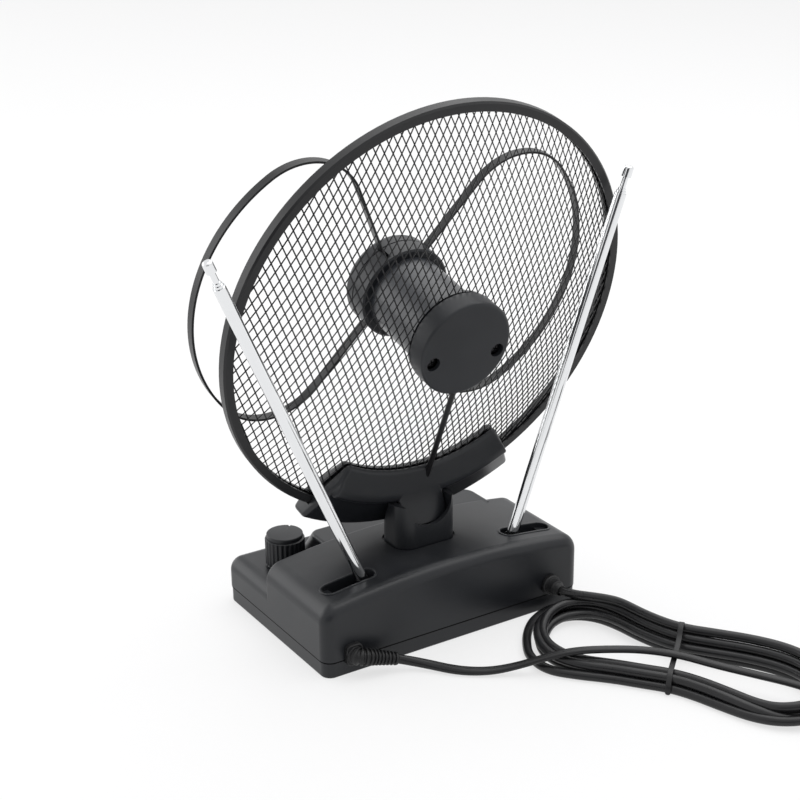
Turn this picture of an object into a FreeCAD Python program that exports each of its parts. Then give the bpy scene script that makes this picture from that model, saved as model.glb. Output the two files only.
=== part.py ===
import FreeCAD, Part
import math
import os
import re

import Sketcher
from FreeCAD import Placement, Rotation, Vector

# Millimetres. Z is up, the knob side faces -Y, both leads leave the rear at +Y, the base is centred on X and Y.
SIZES = {
    "base_width": 170,
    "base_depth": 115,
    "parting_height": 10,
    "parting_gap": 0.2,
    "tray_inset": 0.5,
    "tray_floor": 2.6,
    "tray_edge": 1.2,
    "corner_radius": 6.5,
    "wall": 2.8,
    "cover_height": 48.5,
    "arch_radius": 516,
    "shoulder_radius": 11,
    "ridge_radius": 2,
    "rear_depth": 66.5,
    "deck_height": 28,
    "deck_shoulder": 8,
    "form_overlap": 5,
    "block_left": "=base_width / 2 - 38",
    "block_right": "=base_width / 2 - 19",
    "block_height": 44.8,
    "block_top": 19,
    "block_toe": 38,
    "block_corner": 7,
    "block_edge": 2.5,
    "block_wall": 4,
    "foot_x": "=base_width / 2 - 11",
    "foot_y": "=base_depth / 2 - 11.5",
    "foot_radius": 5.5,
    "foot_height": 1.2,
    "seat_clearance": 0.2,
    "screw_rear_x": 30,
    "screw_rear_y": "=base_depth / 2 - 10.5",
    "screw_front_x": 50,
    "screw_front_y": "=11.5 - base_depth / 2",
    "screw_radius": 1.5,
    "screw_head_radius": 3,
    "screw_head_height": 2,
    "screw_sink": 5,
    "screw_bite": 11,
    "boss_radius": 4.4,
    "post_radius": 5,
    "standoff_radius": 3,
    "standoff_height": 5.5,
    "board_x": -20,
    "board_y": -4,
    "board_width": 84,
    "board_depth": 60,
    "board_thickness": 1.6,
    "board_margin": 5,
    "core_x": "=base_width / 2 - 35",
    "core_y": 12,
    "core_width": 36,
    "core_depth": 24,
    "core_height": 26,
    "winding_width": 24,
    "winding_depth": 34,
    "winding_height": 17,
    "knob_x": "=base_width / 2 - 23.7",
    "knob_y": "=4.55 - rear_depth / 2",
    "knob_radius": 11.7,
    "knob_top_radius": 10.4,
    "knob_top_height": 2.6,
    "knob_height": 19,
    "knob_gap": 0.8,
    "flute_radius": 0.85,
    "flute_count": 26,
    "pointer_width": 1.6,
    "pointer_length": 5,
    "pointer_depth": 0.9,
    "shaft_radius": 3,
    "shaft_depth": 9,
    "shaft_bore": 13,
    "running_clearance": 0.06,
    "bushing_wall": 1.2,
    "pot_radius": 8,
    "pot_height": 9,
    "slot_x": "=base_width / 2 - 26",
    "slot_y": "=base_depth / 2 - 18.5",
    "slot_length": 32,
    "slot_width": 9.5,
    "well_wall": 3,
    "rod_x": "=base_width / 2 - 36",
    "rod_height": "=cover_height - arch_radius + sqrt(arch_radius ^ 2 - rod_x ^ 2) - 5.17",
    "well_floor_height": "=rod_height - 4.6",
    "rod_lean": 5,
    "rod_angle_left": 24.4,
    "rod_angle_right": 16.2,
    "rod_pin_radius": 1.6,
    "knuckle_radius": 3.8,
    "knuckle_width": 7.4,
    "shank_top": 16,
    "rod_foot": 5.5,
    "rod_length": 224,
    "rod_radius": 3.3,
    "tube_wall": 0.5,
    "tube_reveal": 1.4,
    "tube_start": 18,
    "inner_reveal": 6.4,
    "tip_radius": 2.8,
    "tip_height": 6.2,
    "tip_grip": 3,
    "neck_y": "=base_depth / 2 - 39.5",
    "neck_width": 38,
    "neck_depth": 26,
    "neck_corner": 9,
    "neck_top": 73.5,
    "neck_seat_depth": 1.3,
    "neck_seat_gap": 1.1,
    "neck_floor": 52,
    "neck_wall": 2.5,
    "cheek_gap": 30.4,
    "cheek_slot_height": 60,
    "neck_rake": 22.8,
    "neck_rake_y": "=neck_y - 11",
    "neck_rake_z": 50,
    "spigot_radius": 7.8,
    "spigot_length": 12,
    "nut_radius": 12,
    "nut_height": 5,
    "nut_gap": 0.3,
    "tilt_height": 62,
    "tilt_pin_radius": 2.5,
    "barrel_radius": 9,
    "barrel_length": 29,
    "tongue_width": 24,
    "dish_tilt": 14.1,
    "rim_radius": 123.7,
    "rim_inner": "=rim_radius - 5.2",
    "dish_drop": "=rim_radius - 2.6",
    "dish_offset": 17.84,
    "rim_width": 7,
    "rim_groove": 2.4,
    "rim_edge": 1,
    "mesh_radius": "=rim_radius - 2.7",
    "bowl_depth": 25,
    "mesh_thickness": 1,
    "mesh_hole": 24.5,
    "gap_width": 19.4,
    "gap_height": 28.4,
    "strand_width": 2.4,
    "gap_margin": 2,
    "cap_radius": 27.5,
    "cap_back": 37,
    "cap_front": 25.2,
    "cap_edge": 5,
    "cap_dish_radius": 21,
    "cap_dish_depth": 1.2,
    "cap_wall": 2.6,
    "cap_screw_x": 20,
    "cap_screw_drop": 4.8,
    "cap_pocket_radius": 3.9,
    "cap_pocket_depth": 4,
    "tube_radius": 22.6,
    "tube_inner": 17.6,
    "flange_radius": 26.8,
    "flange_back": 23.2,
    "flange_front": 21.6,
    "drum_radius": 27,
    "drum_back": 23.5,
    "drum_parting": 35,
    "drum_gap": 0.8,
    "drum_front": 43.4,
    "drum_wall": 2.2,
    "drum_edge": 2.4,
    "loop_clock": 6,
    "strip_width": 5,
    "strip_thickness": 1.3,
    "loop_reach": 124,
    "loop_shoulder_x": 69,
    "loop_shoulder_y": 41,
    "loop_corner": 36,
    "loop_rake": 58,
    "loop_end_radius": 13,
    "slit_clearance": 0.35,
    "balun_width": 42,
    "balun_height": 25,
    "balun_thickness": 1.6,
    "balun_margin": 1.5,
    "balun_post_radius": 2.2,
    "lead_radius": 1.6,
    "lead_clearance": 0.35,
    "lead_bite": 12,
    "cradle_top": "=rim_radius - 32.2",
    "cradle_bottom": "=rim_radius + 8.3",
    "cradle_back": 14.5,
    "cradle_swell": 15.5,
    "cradle_swell_drop": 11.5,
    "cradle_heel": 5,
    "cradle_toe": 2,
    "cradle_toe_round": 4,
    "cradle_front": 6.2,
    "cradle_lip": 16,
    "cradle_reach": 62,
    "cradle_flat": 43,
    "cradle_end_drop": "=rim_radius - 35.3",
    "cradle_end_height": 20,
    "cradle_end_low": 33,
    "cradle_end_tuck": 4,
    "cradle_beyond": 40,
    "tongue_sink": 0.1,
    "tongue_root_drop": 15,
    "tongue_root_back": 8,
    "tongue_toe": 1.5,
    "tongue_toe_back": 3.6,
    "tongue_blend": 0.5,
    "groove_clearance": 0.3,
    "mesh_slot": 1.5,
    "mesh_slot_over": 1,
    "mains_x": "=base_width / 2 - 16.8",
    "mains_z": 12.6,
    "mains_radius": 2.5,
    "boot_radius": 5,
    "boot_end_radius": 3.6,
    "boot_flange_width": 10,
    "boot_flange_height": 12.4,
    "boot_flange_depth": 2.4,
    "boot_corner": 3,
    "boot_neck_length": 8,
    "boot_neck_sink": 5,
    "end_gap": 0.02,
    "coax_x": "=21 - base_width / 2",
    "coax_z": 16.3,
    "coax_radius": 2.6,
    "gland_radius": 5.8,
    "gland_depth": 3,
    "gland_sleeve": 4,
    "hank_height": 11,
    "coil_radius": 36,
    "coil_eye": 19,
    "coil_height": 10.6,
    "tie_width": 3,
    "tie_thickness": 1.2,
    "tie_gap": 0.2,
    "tie_lift": 0.3,
    "tie_slack": 1.2,
    "plug_relief": 8,
    "plug_grip": 25,
    "plug_grip_radius": 5.9,
    "plug_edge": 1.6,
    "plug_sleeve": 4.75,
    "plug_sleeve_wall": 0.8,
    "plug_sleeve_length": 9,
    "plug_pin": 1.15,
    "mains_plug_width": 35.3,
    "mains_plug_rear": 13,
    "mains_plug_length": 36,
    "mains_plug_thickness": 13.4,
    "mains_plug_shoulder": 16.2,
    "mains_plug_corner": 2.5,
    "prong_radius": 2,
    "prong_length": 19,
    "prong_pitch": 18.6,
}

doc = FreeCAD.newDocument("tv_antenna")
sheet = doc.addObject("Spreadsheet::Sheet", "Sizes")
for row, (alias, number) in enumerate(SIZES.items(), 1):
    sheet.set(f"A{row}", alias)
    sheet.set(f"B{row}", str(number))
    sheet.setAlias(f"B{row}", alias)
doc.recompute()

TO_X = Rotation(Vector(0, 1, 0), 90)
TO_Y = Rotation(Vector(1, 0, 0), -90)
SIDES = (("left", 1), ("right", -1))
NEAR = 0.01
nodes = []


def size(alias):
    return float(sheet.get(alias))


def bound(text):
    """Points every alias in an expression at the sheet."""
    def pointed(word):
        return f"Sizes.{word[0]}" if word[0] in SIZES else word[0]

    return re.sub(r"[a-z_]+", pointed, text)


def bind(item, **texts):
    for name, text in texts.items():
        item.setExpression(name, bound(text))
    return item


def place(item, at, turn=None):
    item.Placement = Placement(Vector(), turn or Rotation())
    for axis, text in zip("xyz", at):
        item.setExpression(f"Placement.Base.{axis}", bound(text))
    return item


def box(name, spans, at, turn=None):
    item = doc.addObject("Part::Box", name)
    bind(item, Length=spans[0], Width=spans[1], Height=spans[2])
    return place(item, at, turn)


def middle_box(name, spans, at):
    """Box centred in X and Y on a point, standing on its Z."""
    corner = (f"{at[0]} - ({spans[0]}) / 2", f"{at[1]} - ({spans[1]}) / 2", at[2])
    return box(name, spans, corner)


def cylinder(name, radius, height, at, turn=None):
    item = doc.addObject("Part::Cylinder", name)
    bind(item, Radius=radius, Height=height)
    return place(item, at, turn)


def fuse(name, *items):
    item = doc.addObject("Part::MultiFuse", name)
    item.Shapes = list(items)
    item.Refine = True
    return item


def common(name, *items):
    item = doc.addObject("Part::MultiCommon", name)
    item.Shapes = list(items)
    return item


def cut(name, base, *tools):
    item = doc.addObject("Part::Cut", name)
    item.Base = base
    item.Tool = tools[0] if len(tools) == 1 else fuse(f"{name}_tools", *tools)
    item.Refine = True
    return item


def fillet(name, base, radius, chosen):
    doc.recompute()
    item = doc.addObject("Part::Fillet", name)
    item.Base = base
    numbers = [index for index, edge in enumerate(base.Shape.Edges, 1) if chosen(edge.BoundBox)]
    item.Edges = [(index, radius, radius) for index in numbers]
    return item


def solid(name, shape):
    item = doc.addObject("Part::Feature", name)
    item.Shape = shape
    return item


def node(label, item, placement=None):
    item.Label = label
    if placement:
        item.Placement = placement
    nodes.append(item)
    return item


def body(name):
    return doc.addObject("PartDesign::Body", name)


def sketch(owner, name, plane):
    item = owner.newObject("Sketcher::SketchObject", name)
    item.AttachmentSupport = ([o for o in owner.Origin.OriginFeatures if o.Role == plane][0], [""])
    item.MapMode = "FlatFace"
    return item


def pin(item, curve, end, at, start):
    """Ties one point of a curve to the sketch origin by two bound distances."""
    ways = (("DistanceX", -2, at[0], start.x), ("DistanceY", -1, at[1], start.y))
    for kind, axis, text, first in ways:
        if text == "0":
            item.addConstraint(Sketcher.Constraint("PointOnObject", curve, end, axis))
        else:
            index = item.addConstraint(Sketcher.Constraint(kind, -1, 1, curve, end, first))
            item.setExpression(f"Constraints[{index}]", bound(text))


def polygon(item, corners):
    count = len(corners)
    first = item.GeometryCount
    starts = [Vector(100, 0, 0) for _ in corners]
    for index in range(count):
        angle = 2 * math.pi * (index + 0.3) / count
        starts[index] = Vector(100 * math.cos(angle), 100 * math.sin(angle), 0)
    for index in range(count):
        item.addGeometry(Part.LineSegment(starts[index], starts[(index + 1) % count]))
    for index in range(count):
        following = first + (index + 1) % count
        item.addConstraint(Sketcher.Constraint("Coincident", first + index, 2, following, 1))
    for index, at in enumerate(corners):
        pin(item, first + index, 1, at, starts[index])


def ring(item, at, radius):
    start = Vector(10, 10, 0)
    curve = item.addGeometry(Part.Circle(start, Vector(0, 0, 1), 5))
    pin(item, curve, 3, at, start)
    index = item.addConstraint(Sketcher.Constraint("Radius", curve, 5))
    item.setExpression(f"Constraints[{index}]", bound(radius))


def extrude(owner, kind, name, profile, length, both=True):
    item = owner.newObject(f"PartDesign::{kind}", name)
    item.Profile = profile
    item.SideType = "Symmetric" if both else "One side"
    return bind(item, Length=length)


def revolve(owner, kind, name, profile, angle=360):
    """Turns a profile about its sketch's vertical axis, half to each side."""
    item = owner.newObject(f"PartDesign::{kind}", name)
    item.Profile = profile
    item.ReferenceAxis = (profile, ["V_Axis"])
    item.Angle = angle
    item.Midplane = True
    return item


def turned(name, corners):
    """Body made by one full revolution about its own Z of a profile in radius and height."""
    owner = body(name)
    profile = sketch(owner, f"{name}_profile", "XZ_Plane")
    polygon(profile, corners)
    revolve(owner, "Revolution", f"{name}_turn", profile)
    return owner


def tube_along(points, radius):
    """Round tube through straight runs joined by tangent arcs; also gives the arc radii."""
    corners = [Vector(*point) for point in points]
    edges = []
    radii = []
    start = corners[0]
    for before, corner, after in zip(corners, corners[1:], corners[2:]):
        to_before = before - corner
        to_after = after - corner
        turn = math.pi - to_before.getAngle(to_after)
        reach = 0.45 * min(to_before.Length, to_after.Length)
        radii.append(reach / math.tan(turn / 2))
        enter = corner + to_before * (reach / to_before.Length)
        leave = corner + to_after * (reach / to_after.Length)
        inward = (to_before / to_before.Length + to_after / to_after.Length).normalize()
        centre = corner + inward * (radii[-1] / math.cos(turn / 2))
        crest = centre - inward * radii[-1]
        edges.append(Part.makeLine(start, enter))
        edges.append(Part.Arc(enter, crest, leave).toShape())
        start = leave
    edges.append(Part.makeLine(start, corners[-1]))
    spine = Part.Wire(edges)
    section = Part.Wire([Part.makeCircle(radius, corners[0], corners[1] - corners[0])])
    shape = spine.makePipeShell([section], True, False)
    share = shape.Volume / (math.pi * radius ** 2 * spine.Length)
    print(f"cord run {spine.Length:.0f} mm, volume share {share:.3f}, radii", [round(r, 1) for r in radii])
    return shape


# Base cover: an arched rear, a low deck in front and a raised block on the deck.
def rear_form(name, inset, foot, set_in):
    block = middle_box(
        f"{name}_block",
        (f"base_width - 2 * ({inset})", f"rear_depth - 2 * ({inset})", "cover_height"),
        ("0", "(base_depth - rear_depth) / 2", foot),
    )
    centre = ("0", "-base_depth / 2", "cover_height - arch_radius")
    arch = cylinder(f"{name}_arch", f"arch_radius - ({inset})", "base_depth", centre, TO_Y)
    raw = common(f"{name}_raw", block, arch)
    rounded = size("shoulder_radius") - set_in
    low = size("deck_height")
    shouldered = fillet(f"{name}_shoulders", raw, rounded, lambda b: b.YLength > 1 and b.ZMin > low)
    back = size("base_depth") / 2 - set_in - NEAR
    above = size("parting_height") + 1
    rounded = size("corner_radius") - set_in
    return fillet(f"{name}_back", shouldered, rounded, lambda b: b.YMin > back and b.ZMax > above)


def deck_form(name, inset, foot, set_in):
    block = box(
        f"{name}_block",
        (f"base_width - 2 * ({inset})", f"base_depth - rear_depth + form_overlap - ({inset})",
         f"deck_height - ({inset}) - ({foot})"),
        (f"({inset}) - base_width / 2", f"({inset}) - base_depth / 2", foot),
    )
    top = size("deck_height") - set_in - NEAR
    rounded = size("deck_shoulder") - set_in
    shouldered = fillet(f"{name}_shoulders", block, rounded, lambda b: b.YLength > 1 and b.ZMin > top)
    front = set_in - size("base_depth") / 2 + NEAR
    above = size("parting_height") + 1
    rounded = size("corner_radius") - set_in
    return fillet(f"{name}_front", shouldered, rounded, lambda b: b.YMax < front and b.ZMax > above)


def block_form(name, inset):
    item = doc.addObject("Part::Wedge", name)
    rear = "rear_depth - base_depth / 2 - form_overlap"
    bind(item, Xmin=f"({inset}) - block_right", X2min=f"({inset}) - block_right")
    bind(item, Xmax=f"block_left - ({inset})", X2max=f"block_left - ({inset})")
    bind(item, Ymin="deck_height - wall - form_overlap / 2", Ymax=f"block_height - ({inset})")
    bind(item, Zmin=rear, Z2min=rear)
    bind(item, Zmax=f"rear_depth - base_depth / 2 + block_toe - ({inset})")
    bind(item, Z2max=f"rear_depth - base_depth / 2 + block_top - ({inset})")
    item.Placement = Placement(Vector(), Rotation(Vector(1, 0, 0), 90))
    return item


rear_body = rear_form("rear", "0", "parting_height", 0)
ridge_y = size("base_depth") / 2 - size("rear_depth")
rear_ridged = fillet(
    "rear_ridge", rear_body, size("ridge_radius"),
    lambda b: b.YMax < ridge_y + NEAR and b.ZMin > size("deck_height") + size("shoulder_radius"),
)
deck_body = deck_form("deck", "0", "parting_height", 0)
block_raw = block_form("block", "0")
block_cornered = fillet(
    "block_corners", block_raw, size("block_corner"), lambda b: b.YLength > 1 and b.ZLength > 1,
)
block_back = ridge_y + size("form_overlap") - NEAR
block_body = fillet(
    "block_edges", block_cornered, size("block_edge"),
    lambda b: b.ZMin > size("block_height") - NEAR and b.YMin < block_back,
)
cover_outside = fuse("cover_outside", rear_ridged, deck_body, block_body)
below = "parting_height - 1"
cover_shell = cut(
    "cover_shell", cover_outside,
    rear_form("rear_room", "wall", below, size("wall")),
    deck_form("deck_room", "wall", below, size("wall")),
    block_form("block_room", "block_wall"),
)

SCREWS = (
    ("rear_left", "screw_rear_x", "screw_rear_y", "cover_height - wall"),
    ("rear_right", "-screw_rear_x", "screw_rear_y", "cover_height - wall"),
    ("front_left", "screw_front_x", "screw_front_y", "deck_height - wall / 2"),
    ("front_right", "-screw_front_x", "screw_front_y", "deck_height - wall / 2"),
)
FEET = (
    ("rear_left", "foot_x", "foot_y"),
    ("rear_right", "-foot_x", "foot_y"),
    ("front_left", "foot_x", "-foot_y"),
    ("front_right", "-foot_x", "-foot_y"),
)
boss_foot = "parting_height + parting_gap"
bosses = []
boss_holes = []
for name, x, y, top in SCREWS:
    bosses.append(cylinder(f"boss_{name}", "boss_radius", f"{top} - {boss_foot}", (x, y, boss_foot)))
    boss_holes.append(cylinder(f"boss_hole_{name}", "screw_radius", "screw_bite + 1", (x, y, boss_foot)))
cover_bossed = fuse("cover_bossed", cover_shell, *bosses)


def obround(name, length, width, foot, height, x):
    """Upright prism with round ends along X, used for the rod slots and their wells."""
    run = middle_box(f"{name}_run", (f"{length} - ({width})", width, height), (x, "slot_y", foot))
    ends = []
    for word, sign in SIDES:
        at = (f"{x} + {sign} * ({length} - ({width})) / 2", "slot_y", foot)
        ends.append(cylinder(f"{name}_{word}_end", f"({width}) / 2", height, at))
    return fuse(name, run, *ends)


def rounded_block(name, spans, at, radius):
    raw = middle_box(f"{name}_raw", spans, at)
    return fillet(name, raw, radius, lambda b: b.ZLength > 1)


neck_seat_z = "cover_height - neck_seat_depth"
neck_seat = rounded_block(
    "neck_seat",
    ("neck_width + 2 * neck_seat_gap", "neck_depth + 2 * neck_seat_gap", "neck_seat_depth + 1"),
    ("0", "neck_y", neck_seat_z),
    size("neck_corner") + size("neck_seat_gap"),
)
neck_hole = cylinder(
    "neck_hole", "spigot_radius + seat_clearance", "4 * wall", ("0", "neck_y", "cover_height - 3 * wall"),
)
shaft_hole = cylinder(
    "shaft_hole", "shaft_radius + bushing_wall + seat_clearance", "3 * wall",
    ("knob_x", "knob_y", "deck_height - 2 * wall"),
)
mains_hole = cylinder(
    "mains_hole", "mains_radius + seat_clearance", "3 * wall",
    ("mains_x", "base_depth / 2 - 2 * wall", "mains_z"), TO_Y,
)
coax_hole = cylinder(
    "coax_hole", "gland_sleeve + seat_clearance", "3 * wall",
    ("coax_x", "base_depth / 2 - 2 * wall", "coax_z"), TO_Y,
)
slots = []
for word, sign in SIDES:
    middle = f"{sign} * slot_x"
    slots.append(obround(f"slot_{word}", "slot_length", "slot_width", "rod_height", "cover_height", middle))
cover_holes = [neck_seat, neck_hole, shaft_hole, mains_hole, coax_hole, *slots, *boss_holes]
node("base_cover", cut("cover", cover_bossed, *cover_holes))

# Base tray, its feet and screws, and what it carries.
tray_raw = middle_box(
    "tray_raw", ("base_width - 2 * tray_inset", "base_depth - 2 * tray_inset", "parting_height"),
    ("0", "0", "0"),
)
tray_corner = size("corner_radius") - size("tray_inset")
tray_cornered = fillet("tray_corners", tray_raw, tray_corner, lambda b: b.ZLength > 1)
tray_body = fillet("tray_edges", tray_cornered, size("tray_edge"), lambda b: b.ZMax < NEAR)
tray_room = middle_box(
    "tray_room",
    ("base_width - 2 * tray_inset - 2 * wall", "base_depth - 2 * tray_inset - 2 * wall", "parting_height"),
    ("0", "0", "tray_floor"),
)
tray_shell = cut("tray_shell", tray_body, tray_room)
posts = []
tray_holes = [mains_hole]
screw_seat = "screw_sink - screw_head_height"
for name, x, y, _ in SCREWS:
    under = (x, y, "0")
    posts.append(cylinder(f"post_{name}", "post_radius", "parting_height - tray_floor", (x, y, "tray_floor")))
    passing = "screw_radius + seat_clearance"
    tray_holes.append(cylinder(f"post_hole_{name}", passing, "parting_height + 1", under))
    tray_holes.append(cylinder(f"post_sink_{name}", "screw_head_radius + seat_clearance", "screw_sink", under))
for name, x, y in FEET:
    under = (x, y, "0")
    tray_holes.append(cylinder(f"foot_seat_{name}", "foot_radius + seat_clearance", "foot_height", under))
STANDOFFS = []
for word, sign in SIDES:
    for end, way in (("rear", 1), ("front", -1)):
        x = f"board_x + {sign} * (board_width / 2 - board_margin)"
        y = f"board_y + {way} * (board_depth / 2 - board_margin)"
        STANDOFFS.append((f"{end}_{word}", x, y))
for name, x, y in STANDOFFS:
    posts.append(cylinder(f"standoff_{name}", "standoff_radius", "standoff_height", (x, y, "tray_floor")))
node("base_tray", cut("tray", fuse("tray_posted", tray_shell, *posts), *tray_holes))

for name, x, y in FEET:
    node(f"foot_{name}", cylinder(f"foot_{name}", "foot_radius", "foot_height", (x, y, "0")))
for name, x, y, _ in SCREWS:
    head = cylinder(f"screw_head_{name}", "screw_head_radius", "screw_head_height", (x, y, screw_seat))
    shank = cylinder(
        f"screw_shank_{name}", "screw_radius", "parting_height + parting_gap + screw_bite - screw_sink",
        (x, y, "screw_sink"),
    )
    node(f"tray_screw_{name}", fuse(f"screw_{name}", head, shank))

board_z = "tray_floor + standoff_height"
board = middle_box("board", ("board_width", "board_depth", "board_thickness"), ("board_x", "board_y", board_z))
can = middle_box(
    "can", ("board_width / 3", "board_depth / 2", "3 * board_thickness"),
    ("board_x", "board_y", f"{board_z} + board_thickness"),
)
node("amplifier_board", fuse("amplifier", board, can))

core = middle_box("core", ("core_width", "core_depth", "core_height"), ("core_x", "core_y", "tray_floor"))
winding = middle_box(
    "winding", ("winding_width", "winding_depth", "winding_height"),
    ("core_x", "core_y", "tray_floor + (core_height - winding_height) / 2"),
)
node("mains_transformer", fuse("transformer", core, winding))

# Gain control: the pot hangs under the deck and its shaft carries the knob.
deck_under = "deck_height - wall"
pot_can = cylinder("pot_can", "pot_radius", "pot_height", ("knob_x", "knob_y", f"{deck_under} - pot_height"))
bushing = cylinder(
    "bushing", "shaft_radius + bushing_wall", "wall + knob_gap / 2", ("knob_x", "knob_y", deck_under),
)
pot_bore = cylinder(
    "pot_bore", "shaft_radius + running_clearance", "pot_height + 2 * wall",
    ("knob_x", "knob_y", f"{deck_under} - shaft_depth + 1"),
)
node("gain_pot", cut("pot", fuse("pot_raw", pot_can, bushing), pot_bore))
node("knob_shaft", cylinder(
    "shaft", "shaft_radius", "shaft_depth - 2 + wall + knob_gap + shaft_bore",
    ("knob_x", "knob_y", f"{deck_under} - shaft_depth + 2"),
))

knob = body("knob")
knob_round = sketch(knob, "knob_round", "XY_Plane")
ring(knob_round, ("0", "0"), "knob_radius")
extrude(knob, "Pad", "knob_skirt", knob_round, "knob_height - knob_top_height", both=False)
flute_round = sketch(knob, "flute_round", "XY_Plane")
ring(flute_round, ("knob_radius", "0"), "flute_radius")
flute = extrude(knob, "Pocket", "flute", flute_round, "2 * knob_height")
flutes = knob.newObject("PartDesign::PolarPattern", "flutes")
flutes.Originals = [flute]
flutes.Axis = (flute_round, ["N_Axis"])
flutes.Angle = 360
bind(flutes, Occurrences="flute_count")
knob.Tip = flutes
top_round = sketch(knob, "knob_top_round", "XY_Plane")
ring(top_round, ("0", "0"), "knob_top_radius")
extrude(knob, "Pad", "knob_top", top_round, "knob_height", both=False)
pointer = sketch(knob, "pointer_outline", "XY_Plane")
polygon(pointer, [
    ("-pointer_width / 2", "-knob_radius"),
    ("pointer_width / 2", "-knob_radius"),
    ("pointer_width / 2", "pointer_length - knob_top_radius"),
    ("-pointer_width / 2", "pointer_length - knob_top_radius"),
])
bind(pointer, **{"AttachmentOffset.Base.z": "knob_height - pointer_depth"})
extrude(knob, "Pocket", "pointer_notch", pointer, "4 * pointer_depth", both=False).Reversed = True
bore_round = sketch(knob, "knob_bore_round", "XY_Plane")
ring(bore_round, ("0", "0"), "shaft_radius")
extrude(knob, "Pocket", "knob_bore", bore_round, "shaft_bore", both=False).Reversed = True
place(knob, ("knob_x", "knob_y", "deck_height + knob_gap"))
node("gain_knob", knob)

# Neck: a raked post with a cup for the cradle's barrel, held by a spigot and nut under the cover.
neck_block = rounded_block(
    "neck_block", ("neck_width", "neck_depth", f"neck_top - ({neck_seat_z})"),
    ("0", "neck_y", neck_seat_z), size("neck_corner"),
)
spigot = cylinder(
    "spigot", "spigot_radius", "spigot_length", ("0", "neck_y", f"{neck_seat_z} - spigot_length"),
)
neck_room = middle_box(
    "neck_room", ("cheek_gap", "neck_depth - 2 * neck_wall", "neck_top"), ("0", "neck_y", "neck_floor"),
)
cheek_slot = cylinder(
    "cheek_slot", "cheek_gap / 2", "2 * neck_depth",
    ("0", "neck_y - neck_depth", "cheek_slot_height + cheek_gap / 2"), TO_Y,
)
rake_top = "neck_top + neck_depth"
neck_rake = box(
    "neck_rake", ("2 * neck_width", "neck_depth", "3 * neck_depth"),
    ("-neck_width", f"neck_rake_y + ({rake_top} - neck_rake_z) * tan(neck_rake)", rake_top),
    Rotation(Vector(1, 0, 0), 180 - size("neck_rake")),
)
tilt_bore = cylinder(
    "tilt_bore", "tilt_pin_radius", "neck_width", ("-neck_width / 2", "neck_y", "tilt_height"), TO_X,
)
neck_raw = fuse("neck_raw", neck_block, spigot)
node("neck_post", cut("neck", neck_raw, neck_room, cheek_slot, neck_rake, tilt_bore))
node("tilt_pin", cylinder(
    "tilt_pin", "tilt_pin_radius", "neck_width", ("-neck_width / 2", "neck_y", "tilt_height"), TO_X,
))
nut_z = "cover_height - wall - nut_gap - nut_height"
nut_raw = cylinder("nut_raw", "nut_radius", "nut_height", ("0", "neck_y", nut_z))
nut_bore = cylinder("nut_bore", "spigot_radius", "nut_height", ("0", "neck_y", nut_z))
node("neck_nut", cut("nut", nut_raw, nut_bore))

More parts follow.
